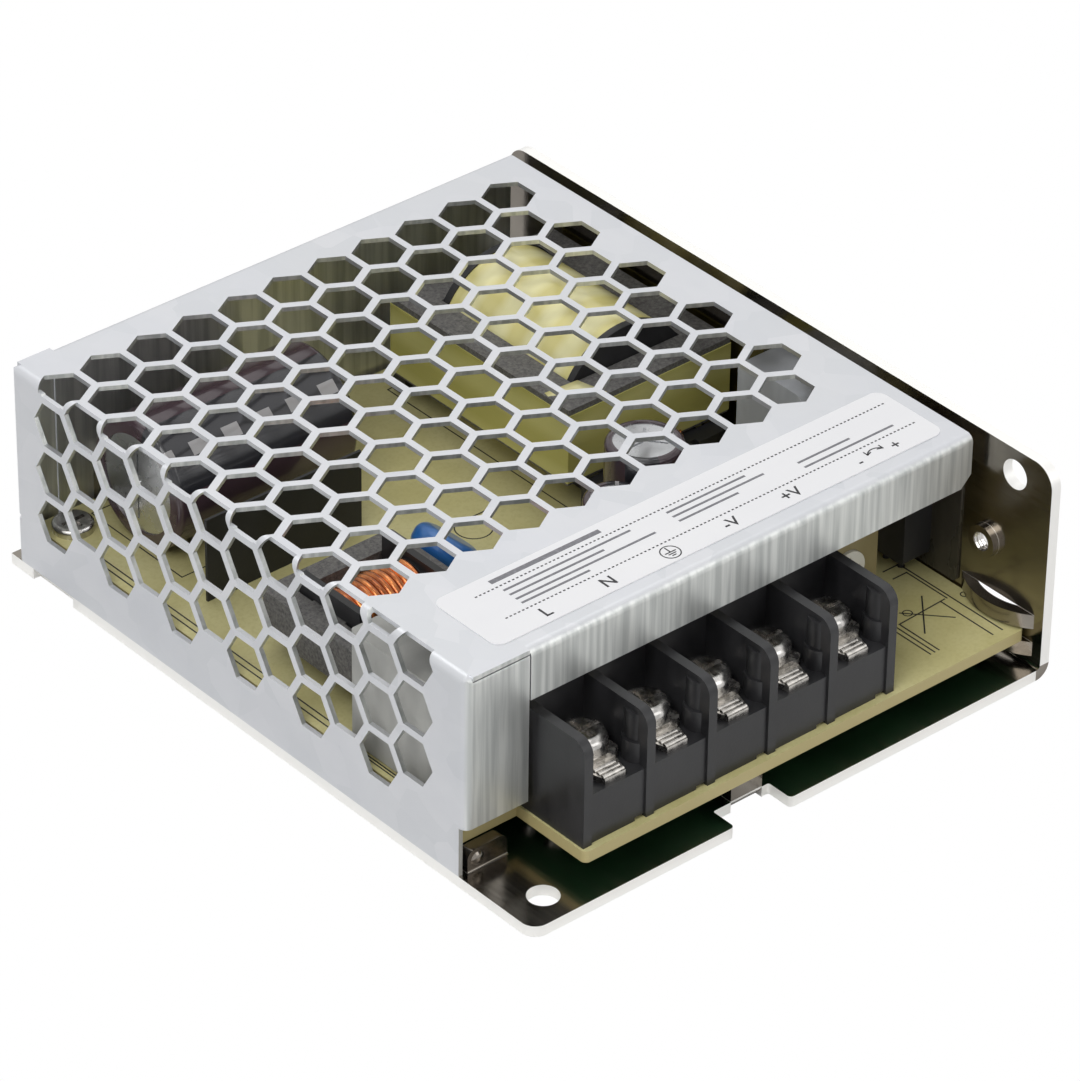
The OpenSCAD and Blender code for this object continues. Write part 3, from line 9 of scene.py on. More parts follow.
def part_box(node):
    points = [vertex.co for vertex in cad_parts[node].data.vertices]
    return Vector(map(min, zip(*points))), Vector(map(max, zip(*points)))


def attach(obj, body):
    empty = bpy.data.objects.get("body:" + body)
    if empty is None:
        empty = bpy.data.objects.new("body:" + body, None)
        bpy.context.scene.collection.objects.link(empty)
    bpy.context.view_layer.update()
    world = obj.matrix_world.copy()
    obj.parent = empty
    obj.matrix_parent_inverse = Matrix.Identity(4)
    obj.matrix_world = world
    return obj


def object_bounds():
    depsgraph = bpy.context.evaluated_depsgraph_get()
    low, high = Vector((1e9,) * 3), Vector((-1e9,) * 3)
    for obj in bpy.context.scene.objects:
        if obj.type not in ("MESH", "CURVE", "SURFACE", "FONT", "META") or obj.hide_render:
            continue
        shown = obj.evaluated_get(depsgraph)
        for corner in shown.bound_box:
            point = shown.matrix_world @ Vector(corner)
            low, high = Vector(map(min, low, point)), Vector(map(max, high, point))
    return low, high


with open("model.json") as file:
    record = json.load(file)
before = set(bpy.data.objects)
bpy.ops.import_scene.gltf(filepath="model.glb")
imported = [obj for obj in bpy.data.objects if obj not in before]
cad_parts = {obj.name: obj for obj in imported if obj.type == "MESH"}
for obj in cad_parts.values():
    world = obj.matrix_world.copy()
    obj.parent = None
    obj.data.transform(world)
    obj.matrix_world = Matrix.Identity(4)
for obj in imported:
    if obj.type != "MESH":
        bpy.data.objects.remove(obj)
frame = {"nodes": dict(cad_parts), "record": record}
cad_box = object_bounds()

MM = 0.001
CASE = "case"
Z = Vector((0, 0, 1))

# ---------- shader helpers ----------


def colour(code):
    """An sRGB hex value as the linear colour that shaders take."""
    values = [int(code[i:i + 2], 16) / 255 for i in (0, 2, 4)]
    return [v / 12.92 if v <= 0.04045 else ((v + 0.055) / 1.055) ** 2.4 for v in values] + [1]


def add(tree, kind, inputs=None, **settings):
    """One node with its settings; each input takes a value or a link from a socket."""
    made = tree.nodes.new("ShaderNode" + kind)
    for key, value in settings.items():
        setattr(made, key, value)
    for key, value in (inputs or {}).items():
        if isinstance(value, bpy.types.NodeSocket):
            tree.links.new(value, made.inputs[key])
        else:
            made.inputs[key].default_value = value
    return made


def start(name, base, metallic=0.0, roughness=0.5, **more):
    """A new material with its even values set, its tree, its shader and its coordinates."""
    made = bpy.data.materials.new(name)
    made.use_nodes = True
    tree = made.node_tree
    shader = tree.nodes["Principled BSDF"]
    shader.inputs["Base Color"].default_value = colour(base)
    shader.inputs["Metallic"].default_value = metallic
    shader.inputs["Roughness"].default_value = roughness
    for key, value in more.items():
        shader.inputs[key.replace("_", " ")].default_value = value
    return made, tree, shader, add(tree, "TexCoord")


def pattern(tree, coords, size_mm, detail=3.0, kind="TexNoise", output="Fac", more=None, **settings):
    """A texture, noise unless told, with features of about these millimetres along X, Y and Z."""
    scale = [1 / (s * MM) for s in size_mm]
    mapped = add(tree, "Mapping", {"Vector": coords.outputs["Object"], "Scale": scale}).outputs[0]
    inputs = {"Vector": mapped, "Scale": 1.0, "Detail": detail, **(more or {})}
    return add(tree, kind, inputs, **settings).outputs[output]


def between(tree, fac, first, second, low=0.0, high=1.0, most=1.0):
    """Two colours, hex or sockets, that change over as a pattern climbs from low to high."""
    share = add(tree, "MapRange", {"Value": fac, "From Min": low, "From Max": high,
                                   "To Max": most}).outputs[0]
    pair = [c if isinstance(c, bpy.types.NodeSocket) else colour(c) for c in (first, second)]
    return add(tree, "Mix", {0: share, 6: pair[0], 7: pair[1]}, data_type="RGBA").outputs[2]


def where(tree, *tests):
    """1 where every test of (socket, comparison, level) holds, and 0 elsewhere."""
    mask = None
    for socket, comparison, level in tests:
        step = add(tree, "Math", {0: socket, 1: level}, operation=comparison).outputs[0]
        mask = step if mask is None else add(tree, "Math", {0: mask, 1: step},
                                             operation="MULTIPLY").outputs[0]
    return mask


def skin(tree, shader, tint=None, height=None, depth_mm=0.0, wander=None, smooth=0.0, rough=0.0):
    """Links a colour, fine height from a pattern, and a roughness that wanders with another."""
    if tint is not None:
        tree.links.new(tint, shader.inputs["Base Color"])
    if height is not None:
        bump = add(tree, "Bump", {"Height": height, "Distance": depth_mm * MM, "Strength": 1.0})
        tree.links.new(bump.outputs["Normal"], shader.inputs["Normal"])
    if wander is not None:
        level = add(tree, "MapRange", {"Value": wander, "From Min": 0.3, "From Max": 0.7,
                                       "To Min": smooth, "To Max": rough}).outputs[0]
        tree.links.new(level, shader.inputs["Roughness"])


def position(tree, coords):
    """Object coordinates in millimetres, as three sockets."""
    split = add(tree, "SeparateXYZ", {0: coords.outputs["Object"]})
    return [add(tree, "Math", {0: s, 1: 1 / MM}, operation="MULTIPLY").outputs[0]
            for s in split.outputs]


def facing(tree, coords):
    """Size of the surface normal along X, Y and Z."""
    split = add(tree, "SeparateXYZ", {0: coords.outputs["Normal"]})
    return [add(tree, "Math", {0: s}, operation="ABSOLUTE").outputs[0] for s in split.outputs]


# ---------- metals ----------


def mill_aluminium():
    """5052 aluminium sheet as rolled: soft mirror faces in a painted-shade dark grey, for the shade and
    dark reflections under the board, and bright sheared edges in the metal's own pale colour.

    Rolling lines run along Y. Edges are found by where they lie: the base's below 1.6 mm and
    inside the wall, the wall's beyond 39.45 mm, where a face doesn't look along its sheet's normal.
    """
    made, tree, shader, coords = start("mill_aluminium", "8d877f", 1.0, 0.2)
    x, _, z = position(tree, coords)
    across_x, _, across_z = facing(tree, coords)
    rolled = pattern(tree, coords, (0.5, 30, 0.5), 4)
    cloud = pattern(tree, coords, (14, 22, 14))
    base_edge = where(tree, (across_z, "LESS_THAN", 0.3), (z, "LESS_THAN", 1.6),
                      (x, "LESS_THAN", 38.9))
    wall_edge = where(tree, (across_x, "LESS_THAN", 0.3), (z, "GREATER_THAN", 1.9),
                      (x, "GREATER_THAN", 39.45))
    edge = add(tree, "Math", {0: base_edge, 1: wall_edge}, operation="MAXIMUM").outputs[0]
    # Painted shade: the face colours are darker than bare aluminium, for the shade and dark reflections
    # under the board; the cloud between them is random tone.
    face = between(tree, cloud, "7f7972", "9a948b", 0.35, 0.65)
    skin(tree, shader, between(tree, edge, face, "f4f3f0"), rolled, 0.004, rolled, 0.14, 0.24)
    # Sheared edges are rougher than any rolled face
    rolled_rough = shader.inputs["Roughness"].links[0].from_socket
    edge_rough = add(tree, "Math", {0: edge, 1: 0.42}, operation="MULTIPLY").outputs[0]
    both = add(tree, "Math", {0: rolled_rough, 1: edge_rough}, operation="MAXIMUM")
    tree.links.new(both.outputs[0], shader.inputs["Roughness"])
    return made


def galvanised_steel():
    """Hot-dip galvanised sheet: pale grey, satin, with faint spangle and drawn streaks.

    The streaks show on faces that look to the front, where the lip was folded down.
    """
    made, tree, shader, coords = start("galvanised_steel", "d2d4d7", 0.85, 0.4)
    spangle = pattern(tree, coords, (4, 5, 4), 0.0, "TexVoronoi", "Color")
    cloud = pattern(tree, coords, (12, 16, 12), 4)
    streak = pattern(tree, coords, (1.1, 1.1, 26))
    spangle_tone = add(tree, "SeparateColor", {0: spangle}).outputs[0]
    sheet = between(tree, spangle_tone, "cfd1d4", "d7d8db")
    sheet = between(tree, cloud, sheet, "c9cbd0", 0.35, 0.7, 0.6)
    streaked = between(tree, streak, "bfc2c0", "e0e2df", 0.4, 0.62)
    skin(tree, shader, between(tree, facing(tree, coords)[1], sheet, streaked, 0.5, 0.9),
         pattern(tree, coords, (0.7, 0.7, 0.7), 2), 0.004, cloud, 0.36, 0.46)
    return made


def plated_metal(name, dark, base, low=0.16, high=0.3, wear_mm=1.2):
    """Nickel, tin or solder on a small part: bright, with soft smears."""
    made, tree, shader, coords = start(name, base, 1.0, low)
    smear = pattern(tree, coords, (wear_mm, wear_mm, wear_mm), 2)
    skin(tree, shader, between(tree, smear, dark, base, 0.35, 0.65), smear, 0.003, smear, low, high)
    return made


def can_aluminium():
    """Deep-drawn aluminium can: bright, with a fine satin from the drawing."""
    made, tree, shader, coords = start("drawn_aluminium_can", "cfd0d2", 1.0, 0.26)
    skin(tree, shader, None, pattern(tree, coords, (0.3, 0.3, 0.3), 2), 0.003,
         pattern(tree, coords, (3, 3, 3)), 0.2, 0.34)
    return made


def enamelled_copper():
    """Polyurethane-enamelled copper wire: orange brown with a clear gloss."""
    made, tree, shader, coords = start("enamelled_copper", "c4743a", 1.0, 0.24,
                                       Coat_Weight=0.6, Coat_Roughness=0.12)
    tone = pattern(tree, coords, (0.9, 3, 3))
    skin(tree, shader, between(tree, tone, "8f4a22", "dd8a4c", 0.35, 0.65))
    return made


# ---------- boards, films and plastics ----------


def board_laminate():
    """CEM-1 board: cream component side, green solder mask below, tan sawn edges."""
    made, tree, shader, coords = start("cem1_laminate", "cbc489", 0.0, 0.42)
    up = add(tree, "SeparateXYZ", {0: coords.outputs["Normal"]}).outputs[2]
    weave = pattern(tree, coords, (0.5, 0.5, 0.5), 2)
    cloud = pattern(tree, coords, (9, 9, 9))
    top = between(tree, cloud, "c6be84", "d4cd97", 0.35, 0.65)
    top = between(tree, weave, top, "b3aa70", 0.45, 0.7, 0.25)
    below = between(tree, up, "4c8a63", "b7aa78", -0.6, -0.4)
    skin(tree, shader, between(tree, up, below, top, 0.4, 0.6), weave, 0.01)
    return made


def moulded(name, base, light, roughness=0.42, pore_mm=0.35, depth_mm=0.008):
    """Moulded plastic or plain film: even colour, a fine surface texture, slight flow marks."""
    made, tree, shader, coords = start(name, base, 0.0, roughness)
    flow = pattern(tree, coords, (6, 3, 9))
    skin(tree, shader, between(tree, flow, base, light, 0.35, 0.65),
         pattern(tree, coords, (pore_mm, pore_mm, pore_mm), 2), depth_mm,
         flow, roughness - 0.05, roughness + 0.08)
    return made


def sintered_ferrite():
    """Sintered ferrite: matt dark grey with a ground, slightly grainy face."""
    made, tree, shader, coords = start("sintered_ferrite", "5d5c5b", 0.0, 0.62)
    speck = pattern(tree, coords, (0.4, 0.4, 0.4), 4, more={"Roughness": 0.7})
    skin(tree, shader, between(tree, speck, "4b4a4a", "7b7976", 0.35, 0.68), speck, 0.015)
    return made


def polyester_tape(name, base, light, lap_mm=9.0, axis=1):
    """Polyester winding tape: glossy film that shows the laps and fine wrinkles."""
    made, tree, shader, coords = start(name, base, 0.0, 0.24, Coat_Weight=0.3, Coat_Roughness=0.1)
    size = [7, 7, 7]
    size[axis] = 0.9
    lap = pattern(tree, coords, [lap_mm] * 3, 1.0, "TexWave", more={"Scale": 0.5, "Distortion": 1.5},
                  bands_direction="XYZ"[axis])
    skin(tree, shader, between(tree, lap, base, light, 0.2, 0.9), pattern(tree, coords, size, 4), 0.06)
    return made


def capacitor_sleeve(name, centre, axis, stripe_from, stripe_to):
    """Shrunk PET sleeve: dark purple-brown gloss, with a near-black stripe of pale minus marks.

    The stripe runs along the axis between two angles in degrees; the marks are 5 mm apart.
    """
    made, tree, shader, coords = start(name, "43343a", 0.0, 0.22, Coat_Weight=0.5, Coat_Roughness=0.08)
    place = [add(tree, "Math", {0: p, 1: c / MM}, operation="SUBTRACT").outputs[0]
             for p, c in zip(position(tree, coords), centre)]
    along = place.pop(axis)
    angle = add(tree, "Math", {0: place[1], 1: place[0]}, operation="ARCTAN2").outputs[0]
    degrees = add(tree, "Math", {0: angle, 1: 180 / math.pi}, operation="MULTIPLY").outputs[0]
    inside = where(tree, (degrees, "GREATER_THAN", stripe_from), (degrees, "LESS_THAN", stripe_to))
    middle, half = (stripe_from + stripe_to) / 2, (stripe_to - stripe_from) / 2
    beside = add(tree, "Math", {0: degrees, 1: middle}, operation="SUBTRACT").outputs[0]
    offset = add(tree, "Math", {0: beside}, operation="ABSOLUTE").outputs[0]
    steps = add(tree, "Math", {0: along, 1: 1 / 5.0}, operation="MULTIPLY").outputs[0]
    beat = add(tree, "Math", {0: steps}, operation="FRACT").outputs[0]
    dash = where(tree, (beat, "LESS_THAN", 0.5), (offset, "LESS_THAN", half * 0.18))
    body = between(tree, pattern(tree, coords, (6, 6, 6)), "3d2e34", "54434a")
    stripe = between(tree, dash, "2c2c31", "a9a7a8")
    skin(tree, shader, between(tree, inside, body, stripe), pattern(tree, coords, (5, 5, 5), 2), 0.03)
    return made


def label_film():
    """Matt white polyester label."""
    made, tree, shader, coords = start("polyester_label", "f1f1f3", 0.0, 0.38)
    skin(tree, shader, between(tree, pattern(tree, coords, (18, 8, 8)), "eeeef1", "f6f6f7"),
         pattern(tree, coords, (3, 3, 3), 2), 0.004)
    return made


def dipped(name, base, light):
    """Epoxy-dipped part: thick glossy coat with soft lumps."""
    made, tree, shader, coords = start(name, base, 0.0, 0.28, Coat_Weight=0.4, Coat_Roughness=0.15)
    lump = pattern(tree, coords, (2.5, 2.5, 2.5), 2)
    skin(tree, shader, between(tree, lump, base, light, 0.35, 0.65), lump, 0.12)
    return made


def ink(name, base, light):
    """Printed ink: thin, matt, a little uneven."""
    made, tree, shader, coords = start(name, base, 0.0, 0.55)
    blot = pattern(tree, coords, (0.5, 0.5, 0.5))
    skin(tree, shader, between(tree, blot, base, light, 0.5, 0.8))
    return made


# ---------- piece helpers ----------


def piece(name, shape, surface, smooth=False):
    """The shape as an object at the origin, riding on the case, with one material."""
    bmesh.ops.recalc_face_normals(shape, faces=shape.faces)
    mesh = bpy.data.meshes.new(name)
    shape.to_mesh(mesh)
    shape.free()
    for face in mesh.polygons:
        face.use_smooth = smooth
    made = bpy.data.objects.new(name, mesh)
    bpy.context.scene.collection.objects.link(made)
    made.data.materials.append(surface)
    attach(made, CASE)
    return made


def stroke(shape, start, end, width, z, height):
    """A flat printed line between two points in XY."""
    start, end = Vector(start), Vector(end)
    run = end - start
    place = (Matrix.Translation(((start + end) / 2).to_3d() + Z * (z + height / 2))
             @ Matrix.Rotation(math.atan2(run.y, run.x), 4, "Z")
             @ Matrix.Diagonal((run.length + width, width, height, 1)))
    bmesh.ops.create_cube(shape, size=1, matrix=place)


def merge(shape, extra):
    """Adds one bmesh to another."""
    carrier = bpy.data.meshes.new("carrier")
    extra.to_mesh(carrier)
    extra.free()
    shape.from_mesh(carrier)
    bpy.data.meshes.remove(carrier)


def turned(shape, outline, place, steps=24, angle=2 * math.pi):
    """A closed outline of (radius, height) points, spun round Z and then put in place."""
    fresh = bmesh.new()
    points = [fresh.verts.new((r, 0, h)) for r, h in outline]
    edges = [fresh.edges.new((a, b)) for a, b in zip(points, points[1:] + points[:1])]
    whole = abs(angle) > 6.28
    bmesh.ops.spin(fresh, geom=points + edges, axis=(0, 0, 1), cent=(0, 0, 0), angle=angle,
                   steps=steps, use_merge=whole)
    if not whole:
        bmesh.ops.holes_fill(fresh, edges=[e for e in fresh.edges if e.is_boundary], sides=0)
    bmesh.ops.remove_doubles(fresh, verts=fresh.verts, dist=1e-7)
    bmesh.ops.transform(fresh, matrix=place, verts=fresh.verts)
    merge(shape, fresh)


def ring(shape, centre, radius, width, z, height, start=0.0, angle=2 * math.pi, steps=32):
    """A flat printed ring or arc round a point in XY."""
    inner, outer = radius - width / 2, radius + width / 2
    outline = [(inner, 0), (outer, 0), (outer, height), (inner, height)]
    place = Matrix.Translation((centre[0], centre[1], z)) @ Matrix.Rotation(start, 4, "Z")
    turned(shape, outline, place, steps, angle)


def from_curve(shape, curve, place=None):
    """Adds the mesh that a curve or text makes, moved into place."""
    holder = bpy.data.objects.new(curve.name, curve)
    bpy.context.scene.collection.objects.link(holder)
    bpy.context.view_layer.update()
    made = holder.evaluated_get(bpy.context.evaluated_depsgraph_get())
    mesh = bpy.data.meshes.new_from_object(made)
    if place is not None:
        mesh.transform(place)
    shape.from_mesh(mesh)
    bpy.data.objects.remove(holder)
    bpy.data.meshes.remove(mesh)


def letters(shape, text, centre, size, z, height):
    """Plain printed characters, centred on a point in XY."""
    curve = bpy.data.curves.new("letters", "FONT")
    curve.body, curve.size = text, 1.0
    curve.align_x, curve.align_y = "CENTER", "CENTER"
    curve.extrude, curve.offset = 0.5, 0.012
    from_curve(shape, curve, Matrix.Translation((centre[0], centre[1], z + height / 2))
               @ Matrix.Diagonal((size, size, height, 1)))


def wire(shape, points, radius):
    """A round wire through points, as one closed tube."""
    curve = bpy.data.curves.new("wire", "CURVE")
    curve.dimensions, curve.bevel_depth, curve.bevel_resolution = "3D", radius, 1
    curve.use_fill_caps, curve.resolution_u = True, 8
    spline = curve.splines.new("NURBS")
    spline.points.add(len(points) - 1)
    for target, point in zip(spline.points, points):
        target.co = (*point, 1)
    spline.use_endpoint_u, spline.order_u = True, 3
    from_curve(shape, curve)


def foot_points(node, below, reach=1.3 * MM):
    """Middle of each lead of a CAD node, where it is lower than a height.

    Points nearer to each other than the reach are one lead.
    """
    groups = []
    for co in [v.co for v in frame["nodes"][node].data.vertices if v.co.z < below]:
        for group in groups:
            if (group[0] - co.xy).length < reach:
                group.append(co.xy)
                break
        else:
            groups.append([co.xy])
    corners = [(Vector((min(p.x for p in g), min(p.y for p in g))),
                Vector((max(p.x for p in g), max(p.y for p in g)))) for g in groups]
    return [(a + b) / 2 for a, b in corners]


# ---------- materials on the CAD nodes ----------

board_lo, board_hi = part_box("circuit_board")
bulk_lo, bulk_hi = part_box("bulk_sleeve")
out1_lo, out1_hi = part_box("output_sleeve_1")
out2_lo, out2_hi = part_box("output_sleeve_2")

black_epoxy = moulded("moulding_epoxy", "1f1f21", "2b2b2d", 0.55, 0.25, 0.015)
plated = plated_metal("nickel_plated_steel", "b1afac", "d9d6d2")
tinned = plated_metal("tinned_brass", "b4b1ac", "dcd8d2", 0.2, 0.36, 0.8)
ferrite = sintered_ferrite()
copper = enamelled_copper()

dress = {
    "chassis": mill_aluminium(),
    "cover": galvanised_steel(),
    "label": label_film(),
    "circuit_board": board_laminate(),
    # Milky polyester film: smooth, with shallow waves
    "insulating_film": moulded("polyester_film", "cfc9b4", "dad5c4", 0.25, 3.0, 0.02),
    # Vulcanised fibre: near-black, dull, with a paper grain
    "barrier_sheet": moulded("vulcanised_fibre", "1a1a1c", "242426", 0.5, 0.3, 0.01),
    "board_screw": plated,
    "cover_screws": plated,
    # Glass-filled PBT: black, slightly glossy
    "terminal_block": moulded("black_pbt", "1d1d1f", "2a2a2c", 0.38),
    "terminal_contacts": tinned,
    "transformer_core": ferrite,
    # Phenolic moulding: black, a little dull
    "transformer_bobbin": moulded("black_phenolic", "202022", "2c2c2e", 0.45),
    "transformer_winding": polyester_tape("yellow_tape", "e6dc92", "f6f0b8"),
    # Painted shade: the same yellow tape as the winding, coloured a darker olive for the shade on the
    # core's sides.
    "transformer_tape": polyester_tape("core_tape", "bdb768", "cfca80", 12.0, 2),
    "bulk_capacitor": can_aluminium(),
    "bulk_sleeve": capacitor_sleeve("bulk_sleeve_pet", (bulk_lo + bulk_hi) / 2, 0, 100, 165),
    # Butyl rubber bung: black and matt
    "bulk_seal": moulded("butyl_seal", "161617", "202021", 0.6),
    "output_capacitor_1": can_aluminium(),
    "output_sleeve_1": capacitor_sleeve("output_sleeve_pet_1", (out1_lo + out1_hi) / 2, 2, -160, -110),
    "output_capacitor_2": can_aluminium(),
    "output_sleeve_2": capacitor_sleeve("output_sleeve_pet_2", (out2_lo + out2_hi) / 2, 2, 20, 70),
    "filter_core": ferrite,
    # Nylon coil former: black, satin
    "filter_bobbin": moulded("black_nylon", "1c1c1e", "28282a", 0.4),
    "filter_winding": copper,
    # Flame-retardant polyester box: pale grey, dull
    "x_capacitor": moulded("grey_box_case", "a9a9a5", "b8b8b3", 0.5),
    "y_capacitor": dipped("blue_epoxy", "2b69b3", "3b7cc6"),
    # Ceramic fuse tube: cream and matt
    "fuse": moulded("fuse_ceramic", "cdbf9b", "ddd2b2", 0.5),
    "fuse_caps": plated,
    "thermistor": dipped("dark_green_epoxy", "26332b", "34443a"),
    "bridge_rectifier": black_epoxy,
    "output_rectifier": black_epoxy,
    "power_transistor": black_epoxy,
    # Silicone rubber cap: grey, matt, with a coarse skin
    "transistor_cap": moulded("silicone_rubber", "b3b6ba", "c3c6ca", 0.55, 0.8, 0.02),
    # Polyimide film on the wall: dark brown, smooth, with shallow waves
    "wall_insulator": moulded("insulator_film", "3c3933", "4c4840", 0.3, 2.0, 0.02),
    "rectifier_clip": plated,
    "clip_screw": plated,
    "choke_core": ferrite,
    "choke_winding": copper,
    # Phenolic paper body of a carbon trimmer: tan, dull
    "trimmer": moulded("phenolic_paper", "8a7e58", "988c66", 0.5),
    # Nylon rotor: off-white, satin
    "trimmer_rotor": moulded("white_nylon", "dddbd2", "e8e6de", 0.4),
    "controller_chip": black_epoxy,
    "optocoupler": black_epoxy,
}
for number in range(1, 6):
    dress["terminal_screw_%d" % number] = plated
    dress["clamp_washer_%d" % number] = tinned
for node_name, surface in dress.items():
    mesh = frame["nodes"][node_name].data
    mesh.materials.clear()
    mesh.materials.append(surface)

# ---------- print on the label ----------

PRINT = 0.015 * MM  # thickness of the ink
FINE, LINE = 0.18 * MM, 0.2 * MM  # widths of printed lines
black_ink = ink("black_ink", "1c1c20", "36363a")
label_lo, label_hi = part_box("label")


def pole_places():
    """Middle of each terminal screw in XY."""
    corners = [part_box("terminal_screw_%d" % i) for i in range(1, 6)]
    return [((lo + hi) / 2).xy for lo, hi in corners]


def earth_mark(shape, centre, z):
    """Earth sign: a stem on three bars inside a ring."""
    cx, cy = centre
    ring(shape, centre, 1.25 * MM, 0.16 * MM, z, PRINT)
    stroke(shape, (cx, cy + 0.95 * MM), (cx, cy), FINE, z, PRINT)
    for level, half in ((0, 0.75), (-0.35, 0.5), (-0.7, 0.24)):
        stroke(shape, (cx - half * MM, cy + level * MM), (cx + half * MM, cy + level * MM),
               0.17 * MM, z, PRINT)


def adjuster_sign(shape, centre, row, z):
    """An arc with an arrow at each end, between minus and plus."""
    radius, first, sweep = 1.5 * MM, 35, 110
    barb, spread = 0.7 * MM, 35
    ring(shape, centre, radius, FINE, z, PRINT, math.radians(first), math.radians(sweep), 12)
    for angle, back in ((first, -90), (first + sweep, 90)):
        tip = Vector((centre[0] + radius * math.cos(math.radians(angle)),
                      centre[1] + radius * math.sin(math.radians(angle))))
        for turn in (-spread, spread):
            way = math.radians(angle + back + 180 + turn)
            stroke(shape, tip, tip + barb * Vector((math.cos(way), math.sin(way))), FINE, z, PRINT)
    for sign, side in (("-", -1), ("+", 1)):
        letters(shape, sign, (centre[0] + side * 2.9 * MM, row - 0.2 * MM), 2.2 * MM, z, PRINT)


def label_print():
    """Pole signs along the front, two dotted rules, and the adjuster's sign."""
    shape = bmesh.new()
    z, front = label_hi.z, label_lo.y
    row = front + 1.75 * MM
    for sign, place in zip(["L", "N", None, "-V", "+V"], pole_places()):
        if sign:
            letters(shape, sign, (place.x, row), 2.5 * MM, z, PRINT)
        else:
            earth_mark(shape, (place.x, row), z)
    for level in (3.7, 9.1):
        x = label_lo.x + 4.5 * MM
        while x < label_hi.x - 1.2 * MM:
            stroke(shape, (x, front + level * MM), (x + 0.12 * MM, front + level * MM), LINE, z, PRINT)
            x += 0.62 * MM
    adjuster_sign(shape, (label_hi.x - 9.5 * MM, front + 1.2 * MM), row, z)
    return piece("label_print", shape, black_ink)


def label_rules():
    """Grey ruled lines in the label's data field: height, start, end and width of each in mm."""
    shape = bmesh.new()
    rows = [(10.3, 8, 24, 0.75), (8.1, 8, 27, 0.35), (7.0, 8, 22, 0.35), (5.9, 8, 29, 0.35),
            (4.9, 8, 18, 0.35), (8.1, 33, 45, 0.35), (7.0, 33, 47, 0.35), (5.9, 33, 42, 0.35),
            (4.9, 52, 66, 0.35), (6.1, 52, 60, 0.35)]
    for level, start, end, width in rows:
        stroke(shape, (label_lo.x + start * MM, label_lo.y + level * MM),
               (label_lo.x + end * MM, label_lo.y + level * MM), width * MM, label_hi.z, PRINT)
    return piece("label_rules", shape, ink("grey_ink", "77777c", "919196"))


label_print()
label_rules()

# ---------- print and solder on the board ----------


def outline(shape, low, high, margin, z):
    """A printed rectangle round a part's footprint."""
    a, b = low.xy - Vector((margin, margin)), high.xy + Vector((margin, margin))
    corners = [Vector((a.x, a.y)), Vector((b.x, a.y)), Vector((b.x, b.y)), Vector((a.x, b.y))]
    for start, end in zip(corners, corners[1:] + corners[:1]):
        stroke(shape, start, end, FINE, z, PRINT)


def board_print():
    """Component outlines and rules printed on the board's top."""
    shape = bmesh.new()
    z, wall, front = board_hi.z, board_hi.x, board_lo.y
    for node, margin in (("transformer_bobbin", 0.4), ("bulk_sleeve", 0.3), ("x_capacitor", 0.5),
                         ("bridge_rectifier", 0.6), ("trimmer", 0.5), ("controller_chip", 0.5),
                         ("optocoupler", 0.5)):
        outline(shape, *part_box(node), margin * MM, z)
    for node in ("output_sleeve_1", "output_sleeve_2", "choke_core"):
        lo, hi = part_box(node)
        ring(shape, ((lo + hi) / 2).xy, (hi.x - lo.x) / 2 + 0.5 * MM, LINE, z, PRINT, steps=40)
    # Rules by the wall, over the front right: points in mm from the wall and the front edge
    wall_rules = [((-4.9, 19.7), (-2.3, 19.7)), ((-2.3, 19.7), (-2.3, 1.6)),
                  ((-5.0, 17.8), (-2.8, 17.8)), ((-2.8, 17.8), (-2.8, 10.7)),
                  ((-3.9, 10.6), (-3.9, 1.6)), ((-3.2, 10.7), (-11.1, 10.3)),
                  ((-4.9, 12.9), (-10.0, 7.0)), ((-9.4, 12.0), (-4.9, 7.1)),
                  ((-11.1, 10.2), (-11.1, 3.4)), ((-11.8, 10.2), (-11.8, 3.4)),
                  ((-12.5, 10.2), (-12.5, 3.4))]
    for start, end in wall_rules:
        stroke(shape, (wall + start[0] * MM, front + start[1] * MM),
               (wall + end[0] * MM, front + end[1] * MM), LINE, z, PRINT)
    for inset, depth, radius in ((8.7, 11.4, 0.6), (0.6, 9.9, 0.5)):
        ring(shape, (wall - inset * MM, front + depth * MM), radius * MM, 0.16 * MM, z, PRINT, steps=16)
    # Open marks in the middle of the board
    for dx, dy, radius in ((-3.5, 3, 1.6), (-3.5, -6, 0.9), (2, 12, 2.4), (-7, 9, 1.1), (-1.2, -6, 0.9)):
        ring(shape, (dx * MM, dy * MM), radius * MM, FINE, z, PRINT, steps=24)
    for start, end in (((-9, 14), (6, 14)), ((-9, 14), (-9, 8)), ((-6, 0), (1, 7)), ((1, 7), (6, 7))):
        stroke(shape, Vector(start) * MM, Vector(end) * MM, LINE, z, PRINT)
    # Twin rules along the edge behind the mesh side
    for inset in (1.2, 2.1):
        x = board_lo.x + inset * MM
        stroke(shape, (x, front + 16 * MM), (x, board_hi.y - 9 * MM), LINE, z, PRINT)
    return piece("board_print", shape, black_ink)


def solder_joints():
    """A fillet round every lead on the underside of the board."""
    shape = bmesh.new()
    base = board_lo.z
    bare = ("chassis", "cover", "circuit_board", "insulating_film", "barrier_sheet")
    feet = {}
    for node in frame["nodes"]:
        if (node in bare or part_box(node)[0].z > base - 0.5 * MM
                or node.endswith(("screw", "screws"))):
            continue
        for place in foot_points(node, base - 0.4 * MM):
            feet[(round(place.x, 5), round(place.y, 5))] = place
    profile = [(0.0, 0.0), (0.95, 0.0), (0.75, -0.14), (0.55, -0.4), (0.45, -0.85), (0.36, -1.12),
               (0.0, -1.24)]
    for place in feet.values():
        turned(shape, [(r * MM, h * MM) for r, h in profile],
               Matrix.Translation((place.x, place.y, base)), 14)
    # Lead-free solder: bright and slightly frosted
    metal = plated_metal("solder", "a4a7a9", "c9cccf", 0.22, 0.4, 0.5)
    return piece("solder_joints", shape, metal, smooth=True)


board_print()
solder_joints()

# ---------- threads ----------


